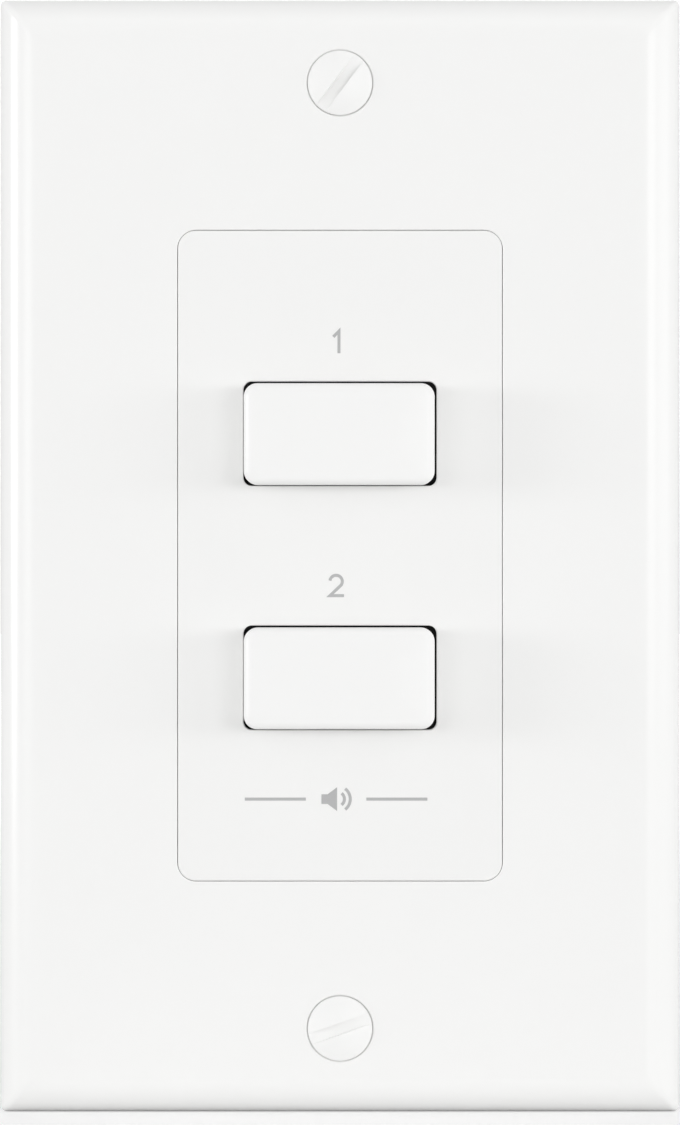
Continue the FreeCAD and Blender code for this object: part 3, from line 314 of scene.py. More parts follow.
def turned(radius, y, x=0.0, z=0.0, steps=TURN_STEPS):
    """Surface of revolution: the profile (radius[i], y[i]) turned round the line (x, z) along Y."""
    direction = np.linspace(0.0, 2 * math.pi, steps, endpoint=False)[None, :]
    radius = np.asarray(radius, float)
    radius = radius[:, None] if radius.ndim == 1 else radius
    depth = np.broadcast_to(np.asarray(y, float)[:, None], (len(y), steps))
    return sheet(np.stack((x + radius * np.cos(direction), depth, z + radius * np.sin(direction)), axis=-1))


def arc_profile(centre, radius, start, stop, steps):
    """Points of an arc in (across, y), from the angle start to stop, measured from the -y direction."""
    sweep = np.linspace(start, stop, steps + 1)
    return centre[0] + radius * np.sin(sweep), centre[1] - radius * np.cos(sweep)


def arc_path(centre, radius, start, stop, steps=14):
    """Points of an arc in (x, z), from the angle start to stop in degrees from +x towards +z."""
    sweep = np.radians(np.linspace(start, stop, steps + 1))
    return np.stack((centre[0] + radius * np.cos(sweep), centre[1] + radius * np.sin(sweep)), axis=-1)


def arc_radius(across, rise):
    """Radius of the circle that falls by rise over the distance across: (across² + rise²) / (2 rise)."""
    return (across ** 2 + rise ** 2) / (2 * rise)


def dome_profile(top, sphere, reach, steps):
    """Profile of a dome: an arc of the sphere's radius, from its top at y = top out to the radius reach."""
    return arc_profile((0.0, top + sphere), sphere, 0.0, math.asin(reach / sphere), steps)


def falling_border(border, depth, front, steps):
    """Inset and y of a border that leaves the front smoothly and falls back by depth, along one circle."""
    radius = arc_radius(border, depth)
    sweep = np.linspace(0.0, math.asin(border / radius), steps + 1)
    return border - radius * np.sin(sweep), front + radius * (1 - np.cos(sweep))


def threaded(radius, y, start, stop, pitch, depth, x=0.0, z=0.0, steps=48):
    """A turned profile with a right-hand thread cut into it between start and stop.

    The radius is lowered by depth times a triangle wave of y / pitch + turn, which fades out at both ends.
    """
    y = np.asarray(y, float)
    turn = np.linspace(0.0, 1.0, steps, endpoint=False)[None, :]
    phase = (y[:, None] / pitch + turn) % 1.0
    groove = np.abs(2 * phase - 1)
    fade = np.clip((y - start) / pitch, 0, 1) * np.clip((stop - y) / pitch, 0, 1)
    return turned(np.asarray(radius, float)[:, None] - depth * fade[:, None] * groove, y, x, z, steps)


def shank_rows(radius, start, stop, pitch, per_turn=8):
    """Even rows of a shank between start and stop, close enough together to show its thread."""
    count = max(2, int(round(abs(stop - start) / pitch * per_turn)))
    return np.full(count, radius), np.linspace(start, stop, count)


def bar(half_x, half_z, y0, y1, x=0.0, z=0.0, turn=0.0):
    """Closed bar along Y, turned round its own line. A half size is one number, or one for each end."""
    x0, x1 = np.broadcast_to(half_x, 2)
    z0, z1 = np.broadcast_to(half_z, 2)
    signs = np.array([(1, 1), (-1, 1), (-1, -1), (1, -1)], float)
    flat = np.array([signs * size for size in ((0, 0), (x0, z0), (x1, z1), (0, 0))])
    c, s = math.cos(turn), math.sin(turn)
    depth = np.broadcast_to(np.array([y0, y0, y1, y1], float)[:, None], flat.shape[:2])
    return sheet(np.stack((x + c * flat[..., 0] - s * flat[..., 1], depth,
                           z + s * flat[..., 0] + c * flat[..., 1]), axis=-1))


def coil(centre_z, radius, wire, start, stop, turns, closed_turns, per_turn=40, around=12, touch=0.98):
    """Helical spring: a circle of the wire's radius carried along a helix round the line (0, centre_z).

    Its pitch is touch times the wire's thickness, and more by a smooth step away from the closed end turns.
    """
    turn = np.linspace(0.0, turns, int(turns * per_turn) + 1)
    edge = np.clip(np.minimum(turn, turns - turn) / closed_turns, 0.0, 1.0)
    step = edge ** 2 * (3 - 2 * edge)
    opened = np.concatenate(([0.0], np.cumsum((step[1:] + step[:-1]) / 2)))
    closed = 2 * wire * turn * touch
    y = start + wire + closed + opened * (stop - start - 2 * wire - closed[-1]) / opened[-1]
    phase = 2 * math.pi * turn
    middle = np.stack((radius * np.cos(phase), y, centre_z + radius * np.sin(phase)), axis=-1)
    outward = np.stack((np.cos(phase), np.zeros_like(phase), np.sin(phase)), axis=-1)
    tangent = np.gradient(middle, axis=0)
    tangent /= np.linalg.norm(tangent, axis=1, keepdims=True)
    across = np.cross(tangent, outward)
    round_wire = np.linspace(0.0, 2 * math.pi, around, endpoint=False)[None, :, None]
    tube = middle[:, None, :] + wire * (outward[:, None, :] * np.cos(round_wire)
                                        + across[:, None, :] * np.sin(round_wire))
    first, last = (np.broadcast_to(end[None, None, :], (1, around, 3)) for end in (middle[0], middle[-1]))
    return sheet(np.concatenate((first, tube, last)))


def ribbon(path, width, base, top, closed=False):
    """Flat band along a path of (x, z) points, from the plane base up to top, mitred at its corners.

    The offset at a corner is the sum of the two side normals, divided by one plus their product.
    """
    path = np.asarray(path, float)
    step = np.roll(path, -1, axis=0) - path
    if not closed:
        step[-1] = step[-2]
    step /= np.linalg.norm(step, axis=1, keepdims=True)
    before = np.roll(step, 1, axis=0)
    if not closed:
        before[0] = step[0]
    normal = np.stack((-step[:, 1], step[:, 0]), axis=-1)
    normal_before = np.stack((-before[:, 1], before[:, 0]), axis=-1)
    mitre = (normal + normal_before) / (1 + np.sum(normal * normal_before, axis=1, keepdims=True))
    shoulder = min(abs(top - base), width / 4)
    offsets = np.array([-width / 2, -width / 2 + shoulder, width / 2 - shoulder, width / 2, 0.0])
    heights = np.array([base, top, top, base, base])
    flat = path[:, None, :] + mitre[:, None, :] * offsets[None, :, None]
    grid = np.stack((flat[..., 0], np.broadcast_to(heights, flat.shape[:2]), flat[..., 1]), axis=-1)
    if not closed:
        first, last = (np.broadcast_to(np.array([x, base, z])[None, None, :], (1, len(offsets), 3))
                       for x, z in (path[0], path[-1]))
        grid = np.concatenate((first, grid, last))
    return sheet(grid, wrap_rows=closed)


# ---------------------------------------------------------------- meshes

def tidy(mesh):
    """Welds the seams and poles, turns every face outwards and keeps only the real edges sharp."""
    work = bmesh.new()
    work.from_mesh(mesh)
    bmesh.ops.remove_doubles(work, verts=work.verts, dist=WELD)
    bmesh.ops.recalc_face_normals(work, faces=work.faces)
    work.to_mesh(mesh)
    work.free()
    mesh.shade_smooth()
    mesh.set_sharp_from_angle(angle=CREASE)
    mesh.update()


def make_piece(name, sheets):
    """One object from several sheets, in metres, at the origin."""
    points = np.concatenate([sheet_points for sheet_points, _ in sheets]) * MM
    starts = np.cumsum([0] + [len(sheet_points) for sheet_points, _ in sheets[:-1]])
    faces = np.concatenate([sheet_faces + start for (_, sheet_faces), start in zip(sheets, starts)])
    mesh = bpy.data.meshes.new(name)
    mesh.from_pydata(points.tolist(), [], faces.tolist())
    tidy(mesh)
    piece = bpy.data.objects.new(name, mesh)
    bpy.context.scene.collection.objects.link(piece)
    return piece


def settle(piece):
    """Applies a piece's modifiers to its mesh."""
    depsgraph = bpy.context.evaluated_depsgraph_get()
    mesh = bpy.data.meshes.new_from_object(piece.evaluated_get(depsgraph))
    mesh.name = piece.name
    old = piece.data
    piece.modifiers.clear()
    piece.data = mesh
    bpy.data.meshes.remove(old)


def carve(piece, sheets, operation="DIFFERENCE"):
    """Takes the closed sheets away from a piece, or joins them to it."""
    tool = make_piece(piece.name + "_tool", sheets)
    modifier = piece.modifiers.new(operation.lower(), "BOOLEAN")
    modifier.operation = operation
    modifier.solver = "EXACT"
    modifier.object = tool
    settle(piece)
    old = tool.data
    bpy.data.objects.remove(tool)
    bpy.data.meshes.remove(old)
    if not piece.data.polygons:
        raise RuntimeError("nothing is left of " + piece.name)
    tidy(piece.data)


def soften(piece, width=0.05, sharper_than=40.0):
    """Rounds a piece's sharp edges by a small width in millimetres."""
    modifier = piece.modifiers.new("soften", "BEVEL")
    modifier.width = width * MM
    modifier.segments = 2
    modifier.limit_method = "ANGLE"
    modifier.angle_limit = math.radians(sharper_than)
    settle(piece)
    tidy(piece.data)


def dress(piece, slot, body="base", replaces=(), material=None):
    """Gives a piece its finish, its body and the nodes that it stands for."""
    piece.data.materials.clear()
    piece.data.materials.append(material or finish(slot))
    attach(piece, body)
    if replaces:
        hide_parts(*replaces)


def second_material(piece, material, chosen):
    """Gives the faces whose centres are chosen a second material."""
    mesh = piece.data
    mesh.materials.append(material)
    middle = np.empty(len(mesh.polygons) * 3)
    mesh.polygons.foreach_get("center", middle)
    index = chosen(middle.reshape(-1, 3)).astype(np.int32)
    mesh.polygons.foreach_set("material_index", index)
    mesh.update()


# ---------------------------------------------------------------- finishes

def add_node(tree, kind, inputs=None, **settings):
    """A shader node with its settings, and with each input set to a value or linked to a socket."""
    node = tree.nodes.new(kind)
    for key, value in settings.items():
        setattr(node, key, value)
    for key, value in (inputs or {}).items():
        if isinstance(value, bpy.types.NodeSocket):
            tree.links.new(value, node.inputs[key])
        else:
            node.inputs[key].default_value = value
    return node


def math_node(tree, operation, first, second=0.0, third=0.0):
    """What one step of arithmetic gives."""
    return add_node(tree, "ShaderNodeMath", {0: first, 1: second, 2: third}, operation=operation).outputs[0]


def noise(tree, vector, scale, detail=2.0, roughness=0.5):
    """A noise from 0 to 1, with its scale in waves per metre."""
    return add_node(tree, "ShaderNodeTexNoise",
                    {"Vector": vector, "Scale": scale, "Detail": detail, "Roughness": roughness}).outputs[0]


def centred_mix(tree, first, part, second):
    """Part of the first noise and the rest of the second, less a half, so that it averages nothing."""
    mixed = math_node(tree, "ADD", math_node(tree, "MULTIPLY", first, part),
                      math_node(tree, "MULTIPLY", second, 1.0 - part))
    return math_node(tree, "SUBTRACT", mixed, 0.5)


def shaded(tree, base, factor):
    """The base colour times a factor that changes over the surface."""
    return add_node(tree, "ShaderNodeVectorMath", {0: base, "Scale": factor}, operation="SCALE").outputs[0]


def object_place(tree):
    """The place of a surface point in its object's own metres."""
    return add_node(tree, "ShaderNodeTexCoord").outputs["Object"]


# Socket type of a group's input or output, by how many numbers it carries
SOCKETS = {1: "NodeSocketFloat", 3: "NodeSocketVector", 4: "NodeSocketColor"}


def new_group(name, inputs):
    """A shader node group with its named inputs, which puts out Color, Roughness and Height."""
    tree = bpy.data.node_groups.new(name, "ShaderNodeTree")
    for label, default in inputs.items():
        socket = tree.interface.new_socket(label, in_out="INPUT", socket_type=SOCKETS[np.size(default)])
        socket.default_value = default
    for label, count in (("Color", 4), ("Roughness", 1), ("Height", 1)):
        tree.interface.new_socket(label, in_out="OUTPUT", socket_type=SOCKETS[count])
    return tree, tree.nodes.new("NodeGroupInput").outputs, tree.nodes.new("NodeGroupOutput").inputs


def put_out(tree, result, **values):
    """Links a group's outputs to the values named for them."""
    for label, value in values.items():
        tree.links.new(value, result[label])
    return tree


def moulded_group():
    """Moulded plastic: broad flow marks in its colour and gloss, and a fine even grain."""
    tree, given, result = new_group("moulded_surface", {
        "Color": (0.8, 0.8, 0.8, 1.0), "Flow": 0.01, "Flow Scale": 60.0, "Grain Scale": 3000.0,
        "Roughness": 0.3, "Gloss Spread": 0.06})
    place = object_place(tree)
    flow = noise(tree, place, given["Flow Scale"], 3.0)
    fine = noise(tree, place, given["Grain Scale"], 2.0, 0.6)
    marks = math_node(tree, "MULTIPLY_ADD", math_node(tree, "SUBTRACT", flow, 0.5), given["Flow"], 1.0)
    gloss = math_node(tree, "MULTIPLY_ADD", centred_mix(tree, flow, 0.6, fine), given["Gloss Spread"],
                      given["Roughness"])
    return put_out(tree, result, Color=shaded(tree, given["Color"], marks), Roughness=gloss, Height=fine)


def metal_group():
    """Worked metal: streaks along one direction in its gloss and relief, and cloudy plating."""
    tree, given, result = new_group("worked_metal", {
        "Color": (0.7, 0.7, 0.7, 1.0), "Streaks": (300.0, 3000.0, 3000.0), "Cloud Scale": 250.0,
        "Cloud": 0.2, "Roughness": 0.35, "Gloss Spread": 0.2})
    place = object_place(tree)
    stretched = add_node(tree, "ShaderNodeVectorMath", {0: place, 1: given["Streaks"]},
                         operation="MULTIPLY").outputs[0]
    streaks = noise(tree, stretched, 1.0, 3.0, 0.6)
    clouds = noise(tree, place, given["Cloud Scale"], 4.0, 0.6)
    tone = math_node(tree, "MULTIPLY_ADD", centred_mix(tree, clouds, 0.7, streaks), given["Cloud"], 1.0)
    gloss = math_node(tree, "MULTIPLY_ADD", math_node(tree, "SUBTRACT", streaks, 0.5),
                      given["Gloss Spread"], given["Roughness"])
    return put_out(tree, result, Color=shaded(tree, given["Color"], tone), Roughness=gloss, Height=streaks)


def laminate_group():
    """Glass laminate under a coat of mask: a square weave that shows faintly in colour and height.

    Between the two faces, where the mask ends, the sawn edge shows the bare layers of glass cloth.
    """
    mask, layer = 0.06 * MM, 0.2 * MM
    tree, given, result = new_group("woven_laminate", {
        "Color": (0.05, 0.24, 0.11, 1.0), "Edge Color": (0.38, 0.36, 0.16, 1.0), "Weave Pitch": 0.0006,
        "Weave": 0.12, "Roughness": 0.25})
    place = object_place(tree)
    along = add_node(tree, "ShaderNodeSeparateXYZ", {0: place}).outputs
    waves = []
    for axis in ("X", "Z"):
        turns = math_node(tree, "DIVIDE", along[axis], given["Weave Pitch"])
        waves.append(math_node(tree, "SINE", math_node(tree, "MULTIPLY", turns, 2 * math.pi)))
    weave = math_node(tree, "MULTIPLY", *waves)
    clouds = noise(tree, place, 90.0, 3.0)
    pattern = math_node(tree, "ADD", math_node(tree, "MULTIPLY", weave, 0.5),
                        math_node(tree, "SUBTRACT", clouds, 0.5))
    tone = math_node(tree, "MULTIPLY_ADD", pattern, given["Weave"], 1.0)
    middle, reach = (BOARD_FRONT + BOARD_BACK) / 2 * MM, (BOARD_BACK - BOARD_FRONT) / 2 * MM - mask
    from_middle = math_node(tree, "ABSOLUTE", math_node(tree, "SUBTRACT", along["Y"], middle))
    sawn = math_node(tree, "LESS_THAN", from_middle, reach)
    layers = math_node(tree, "SINE", math_node(tree, "MULTIPLY", along["Y"], 2 * math.pi / layer))
    edge = shaded(tree, given["Edge Color"], math_node(tree, "MULTIPLY_ADD", layers, 0.12, tone))
    mixed = add_node(tree, "ShaderNodeMix", {"Factor": sawn, 6: shaded(tree, given["Color"], tone), 7: edge},
                     data_type="RGBA")
    gloss = math_node(tree, "MULTIPLY_ADD", clouds, 0.1, given["Roughness"])
    return put_out(tree, result, Color=mixed.outputs[2], Roughness=gloss, Height=weave)


GROUPS = {"moulded_surface": moulded_group, "worked_metal": metal_group, "woven_laminate": laminate_group}


def surface_material(name, group, values, bump, metallic=0.0):
    """A Principled material whose colour, roughness and bump come from a surface group."""
    material = bpy.data.materials.new(name)
    material.use_nodes = True
    tree = material.node_tree
    tree.nodes.clear()
    group_tree = bpy.data.node_groups.get(group) or GROUPS[group]()
    surface = add_node(tree, "ShaderNodeGroup", values, node_tree=group_tree).outputs
    relief = add_node(tree, "ShaderNodeBump", {"Height": surface["Height"], "Strength": bump,
                                               "Distance": RELIEF})
    shader = add_node(tree, "ShaderNodeBsdfPrincipled", {
        "Base Color": surface["Color"], "Roughness": surface["Roughness"],
        "Normal": relief.outputs["Normal"], "Metallic": metallic})
    add_node(tree, "ShaderNodeOutputMaterial", {"Surface": shader.outputs[0]})
    return material


def plastic(name, base, roughness, flow=0.02, grain=3000.0, bump=0.12, spread=0.08):
    """Moulded or printed plastic.

    Flow is the strength of its flow marks, grain the waves per metre of its fine grain, and spread how much
    its roughness varies.
    """
    return surface_material(name, "moulded_surface", {
        "Color": (*base, 1.0), "Flow": flow, "Grain Scale": grain, "Roughness": roughness,
        "Gloss Spread": spread}, bump)


def metal(name, base, roughness, streaks, cloud=0.25, bump=0.15):
    """Worked metal, with the waves per metre of its streaks and the strength of its clouds."""
    return surface_material(name, "worked_metal", {
        "Color": (*base, 1.0), "Streaks": streaks, "Cloud": cloud, "Roughness": roughness}, bump, 1.0)


def laminate(name, base):
    """Board laminate under its mask."""
    return surface_material(name, "woven_laminate", {"Color": (*base, 1.0)}, bump=0.2)


# Waves per metre of a metal's streaks along X, Y and Z
TURNED = (2500.0, 2500.0, 2500.0)
DRAWN = (2500.0, 300.0, 2500.0)
ROLLED_UP = (2500.0, 2500.0, 160.0)
ROLLED_ACROSS = (200.0, 2500.0, 2500.0)
# How each finish is made: its kind, its colour and its other values. A word is the name of a finish setting.
FINISHES = {
    "plate_plastic": (plastic, "plate", dict(roughness=0.22, flow=0.012, bump=0.03)),
    "insert_plastic": (plastic, "insert", dict(roughness=0.36, flow=0.012, grain=4500.0, bump="grain")),
    "button_plastic": (plastic, "button", dict(roughness=0.31, flow=0.01, bump=0.02)),
    "painted_screw": (plastic, (0.93, 0.93, 0.922), dict(roughness=0.42, flow=0.05, grain=900.0, bump=0.2)),
    "strap_steel": (metal, (0.66, 0.67, 0.68), dict(roughness=0.38, streaks=ROLLED_UP, cloud=0.35)),
    "screw_steel": (metal, (0.68, 0.68, 0.66), dict(roughness=0.32, streaks=TURNED, cloud=0.3)),
    "black_screw": (metal, (0.05, 0.05, 0.055), dict(roughness=0.4, streaks=TURNED, cloud=0.4)),
    "fibre": (plastic, (0.36, 0.085, 0.045), dict(roughness=0.7, flow=0.5, grain=1500.0, bump=0.6)),
    "board_laminate": (laminate, (0.018, 0.15, 0.055), {}),
    "terminal_plastic": (plastic, (0.03, 0.27, 0.1), dict(roughness=0.45, flow=0.06, bump=0.25)),
    "nickel": (metal, (0.72, 0.7, 0.62), dict(roughness=0.25, streaks=DRAWN, cloud=0.2)),
    "tinned": (metal, (0.78, 0.78, 0.76), dict(roughness=0.3, streaks=DRAWN, cloud=0.3)),
    "case_plastic": (plastic, (0.018, 0.018, 0.02), dict(roughness=0.5, flow=0.3, bump=0.3, spread=0.15)),
    "cover_steel": (metal, (0.7, 0.71, 0.72), dict(roughness=0.3, streaks=ROLLED_ACROSS)),
    "slider_plastic": (plastic, (0.8, 0.77, 0.68), dict(roughness=0.42, flow=0.05)),
    "spring_steel": (metal, (0.6, 0.6, 0.6), dict(roughness=0.25, streaks=TURNED)),
    "contact_bronze": (metal, (0.75, 0.45, 0.24), dict(roughness=0.3, streaks=DRAWN, cloud=0.35)),
    "blade_silver": (metal, (0.82, 0.8, 0.74), dict(roughness=0.28, streaks=DRAWN, cloud=0.3)),
    "ink": (plastic, "ink", dict(roughness=0.5, flow=0.08, bump=0.2)),
    "board_ink": (plastic, (0.8, 0.8, 0.78), dict(roughness=0.6, flow=0.15, bump=0.3)),
    "mask_over_copper": (laminate, (0.05, 0.26, 0.085), {}),
    "solder": (metal, (0.74, 0.75, 0.76), dict(roughness=0.38, streaks=TURNED, cloud=0.35, bump=0.2)),
    # Painted shade: the near-black carrier finish darkens the gap round each cap and the cap's hollow inside.
    "carrier_plastic": (plastic, "carrier", dict(roughness=0.55, flow=0.2, bump=0.2)),
}


def finish(slot):
    """The material of one of the record's slots, or of an added surface, made when it is first asked for."""
    name = slot + "_finish"
    made = bpy.data.materials.get(name)
    if made:
        return made
    chosen = bpy.context.scene.selector_finish
    kind, base, others = FINISHES[slot]
    values = {key: getattr(chosen, value) if isinstance(value, str) else value
              for key, value in {"base": base, **others}.items()}
    return kind(name, **values)


# ---------------------------------------------------------------- pieces

class PieceOperator:
    """What every operator of this file shares."""

    bl_options = {"REGISTER", "UNDO"}


def plate_shell(s, half_x, half_z, inner):
    """Grid of the plate's shell: up the rim, over the border, in at the opening and back along the inside.

    A row is the plate's outline drawn in, or the opening's outline grown, by the profile's distance across.
    """
    rim_break, support, ease = 0.1, 0.05, s.eased_edge
    collar_back = STRAP_FRONT - s.collar_gap
    border_in, border_y = falling_border(s.border, s.border_depth, PLATE_FRONT, 28)
    hollow_in, hollow_y = falling_border(s.border - s.rim, s.border_depth - s.hollow_inset, inner, 12)
    ease_out, ease_y = arc_profile((ease, PLATE_FRONT + ease), ease, 0.0, -math.pi / 2, 4)
    outside = [(rim_break, 0.0), (0.0, -rim_break), *zip(border_in[::-1], border_y[::-1]),
               (s.border + support, PLATE_FRONT)]
    opening = [(ease + support, PLATE_FRONT), *zip(ease_out, ease_y), (0.0, collar_back - rim_break),
               (rim_break, collar_back), (s.collar, collar_back), (s.collar, inner)]
    hollow = [*zip(hollow_in + s.rim, hollow_y), (s.rim, 0.0)]
    opening_x, opening_z = s.opening_width / 2, s.opening_height / 2
    rows = [(half_x - across, half_z - across, s.corner, y) for across, y in outside]
    rows += [(opening_x + across, opening_z + across, s.opening_radius + across, y) for across, y in opening]
    rows += [(half_x - across, half_z - across, s.corner, y) for across, y in hollow]
    return nested_loops(*np.array(rows).T)


class SELECTOR_OT_wall_plate(PieceOperator, bpy.types.Operator):
    """Moulded wall plate with its rounded border, opening, screw bosses and ribs"""

    bl_idname = "selector.wall_plate"
    bl_label = "Wall plate"

    def execute(self, context):
        s = in_mm(context.scene.selector_plate)
        screws = in_mm(context.scene.selector_screws)
        half_x, half_z = PLATE_HIGH[0], PLATE_HIGH[2]
        inner = PLATE_FRONT + s.wall
        plate = make_piece("moulded_plate", [sheet(plate_shell(s, half_x, half_z, inner), wrap_rows=True)])
        screw_places = (screws.plate_pitch / 2, -screws.plate_pitch / 2)
        root = inner - 0.6                       # bosses and ribs start inside the front wall
        boss_y = [root, root, STRAP_FRONT, STRAP_FRONT]
        carve(plate, [turned([0, s.boss, s.boss, 0], boss_y, z=z) for z in screw_places], "UNION")
        rib_back = inner + s.rib_height
        rib_reach = half_x - s.rim + 0.3         # ribs end inside the sides
        collar_x = s.opening_width / 2 + s.collar / 2
        ribs = [bar(rib_reach, s.rib / 2, root, rib_back, z=z) for z in screw_places]
        for z in (s.side_rib_pitch / 2, -s.side_rib_pitch / 2):
            for side in (-1, 1):
                middle = side * (collar_x + rib_reach) / 2
                ribs.append(bar((rib_reach - collar_x) / 2, s.rib / 2, root, rib_back, middle, z))
        carve(plate, ribs, "UNION")
        edge_break, hole_gap = 0.06, 0.3
        head_r = screws.plate_head + screws.head_gap
        hole_r = screws.shank + hole_gap
        neck_y = PLATE_FRONT + (head_r - hole_r) / math.tan(screws.head_angle / 2)
        mouth_r, mouth_y = head_r + edge_break, PLATE_FRONT - PAST
        radius = [0, mouth_r, mouth_r, head_r, hole_r, hole_r, 0]
        depth = [mouth_y, mouth_y, PLATE_FRONT, PLATE_FRONT + edge_break, neck_y, PAST, PAST]
        carve(plate, [turned(radius, depth, z=z, steps=96) for z in screw_places])
        dress(plate, "plate_plastic", replaces=["wall_plate"])
        return {"FINISHED"}


class SELECTOR_OT_plate_screws(PieceOperator, bpy.types.Operator):
    """Two painted oval-head screws with a slot across the dome and a machine thread"""

    bl_idname = "selector.plate_screws"
    bl_label = "Plate screws"

    def execute(self, context):
        s = in_mm(context.scene.selector_screws)
        places = (s.plate_pitch / 2, -s.plate_pitch / 2)
        head_r, top, tip = s.plate_head, PLATE_FRONT - s.dome, PLATE_FRONT + s.plate_length
        rim_round, run_out, slot_taper = 0.1, 0.3, 0.04
        paint_end = PLATE_FRONT + 0.5
        rim_y = [PLATE_FRONT - 0.03, PLATE_FRONT + 0.05]
        across, y = dome_profile(top, arc_radius(head_r, s.dome), head_r - rim_round, 20)
        neck_r = s.shank - s.thread_depth
        neck_y = PLATE_FRONT + (head_r - neck_r) / math.tan(s.head_angle / 2)
        lead = s.shank / 2
        shank_r, shank_y = shank_rows(s.shank, neck_y + run_out, tip - lead, s.pitch)
        radius = np.concatenate((across, [head_r, head_r, neck_r], shank_r, [s.shank - lead, 0.0]))
        depth = np.concatenate((y, rim_y, [neck_y], shank_y, [tip, tip]))
        screws = make_piece("plate_screw_pair", [
            threaded(radius, depth, neck_y, tip, s.pitch, s.thread_depth, z=z, steps=72) for z in places])
        half = s.slot_width / 2
        slot_z = (half * (1 + slot_taper), half * (1 - slot_taper))
        carve(screws, [bar(head_r + PAST, slot_z, top - PAST, top + s.slot_depth, z=z, turn=turn)
                       for z, turn in zip(places, (s.top_angle, s.bottom_angle))])
        soften(screws)
        dress(screws, "painted_screw", replaces=["plate_screws"])
        second_material(screws, finish("screw_steel"), lambda middle: middle[:, 1] > paint_end * MM)
        return {"FINISHED"}


class SELECTOR_OT_box_screws(PieceOperator, bpy.types.Operator):
    """Two slotted machine screws that hold the strap to the wall box"""

    bl_idname = "selector.box_screws"
    bl_label = "Box screws"

    def execute(self, context):
        s = in_mm(context.scene.selector_screws)
        low, high = extent("box_screws")
        head_r, neck_r, top, tip = high[0], s.box_neck, low[1], high[1]
        places = (high[2] - head_r, low[2] + head_r)
        slot_turns = (12.0, 160.0)
        thread = RETAINER_BACK + 0.15
        lead = s.box_shank / 2
        across, y = dome_profile(top, s.box_dome, head_r - 0.5, 6)
        rim_r, rim_y = [head_r - 0.15, head_r], [y[-1] + 0.15, y[-1] + 0.45]
        shank_r, shank_y = shank_rows(s.box_shank, thread, tip - lead, s.pitch)
        radius = np.concatenate((across, rim_r, [head_r, neck_r, neck_r], shank_r, [s.box_shank - lead, 0]))
        depth = np.concatenate((y, rim_y, [STRAP_FRONT, STRAP_FRONT, thread], shank_y, [tip, tip]))
        screws = make_piece("box_screw_pair", [
            threaded(radius, depth, thread, tip, s.pitch, s.box_thread_depth, z=z) for z in places])
        carve(screws, [bar(head_r + PAST, s.box_slot_width / 2, top - PAST, top + s.box_slot_depth, z=z,
                           turn=math.radians(turn)) for z, turn in zip(places, slot_turns)])
        soften(screws)
        dress(screws, "screw_steel", replaces=["box_screws"])
        return {"FINISHED"}


def cross_screws(name, node, head_r, seat, s, turns):
    """Pan-head tapping screws that point to -Y, each with a tapered cross recess and a coarse thread."""
    small_r = 1.0                                # over the thread
    low, high = extent(node)
    top, tip = high[1], low[1]
    places = [(side * (high[0] - head_r), end * (high[2] - head_r)) for side in (-1, 1) for end in (-1, 1)]
    crown, edge, run_out, point = 0.35, 0.12, 0.2, 0.35
    across, y = dome_profile(-top, arc_radius(head_r, crown), head_r - edge, 6)
    shank_r, shank_y = shank_rows(small_r, seat - run_out, tip + small_r, s.small_pitch)
    radius = np.concatenate((across, [head_r, head_r, small_r], shank_r, [small_r * point, 0.0]))
    depth = np.concatenate((-y, [top - crown - edge, seat, seat], shank_y, [tip, tip]))
    screws = make_piece(name, [threaded(radius, depth, tip, seat, s.small_pitch, s.small_depth, x, z, 40)
                               for x, z in places])
    recess_x, recess_z = (head_r * 0.62, head_r * 0.25), (0.22, 0.14)
    recess_front, recess_end = top + 0.5, top - 0.95
    for quarter in (0.0, math.pi / 2):
        carve(screws, [bar(recess_x, recess_z, recess_front, recess_end, x, z, quarter + math.radians(turn))
                       for (x, z), turn in zip(places, turns)])
    return screws


class SELECTOR_OT_small_screws(PieceOperator, bpy.types.Operator):
    """Cross-recess screws of the insert and of the circuit board"""

    bl_idname = "selector.small_screws"
    bl_label = "Small screws"

    def execute(self, context):
        s = in_mm(context.scene.selector_screws)
        insert_seat = extent("bezel_screws")[1][1] - s.small_head
        insert_head, board_head = 1.6, 1.75
        insert_turns, board_turns = (8.0, 61.0, 33.0, 77.0), (20.0, 52.0, 5.0, 71.0)
        insert = cross_screws("bezel_screw_set", "bezel_screws", insert_head, insert_seat, s, insert_turns)
        dress(insert, "screw_steel", replaces=["bezel_screws"])
        board = cross_screws("board_screw_set", "board_screws", board_head, BOARD_BACK, s, board_turns)
        dress(board, "black_screw", replaces=["board_screws"])
        return {"FINISHED"}


class SELECTOR_OT_springs(PieceOperator, bpy.types.Operator):
    """Two return springs with closed end turns, drawn at rest and carried by their buttons' bodies"""

    bl_idname = "selector.springs"
    bl_label = "Return springs"

    def execute(self, context):
        s = in_mm(context.scene.selector_buttons)
        for side in SWITCHES:
            node = side + "_return_spring"
            low, high = extent(node)
            radius = (high[0] - low[0]) / 2 - s.spring_wire
            centre_z = (low[2] + high[2]) / 2
            turns = coil(centre_z, radius, s.spring_wire, low[1], high[1], s.spring_turns, s.spring_closed)
            spring = make_piece(side + "_coil_spring", [turns])
            dress(spring, "spring_steel", body=side + "_button", replaces=[node])
            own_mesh(spring)
        return {"FINISHED"}


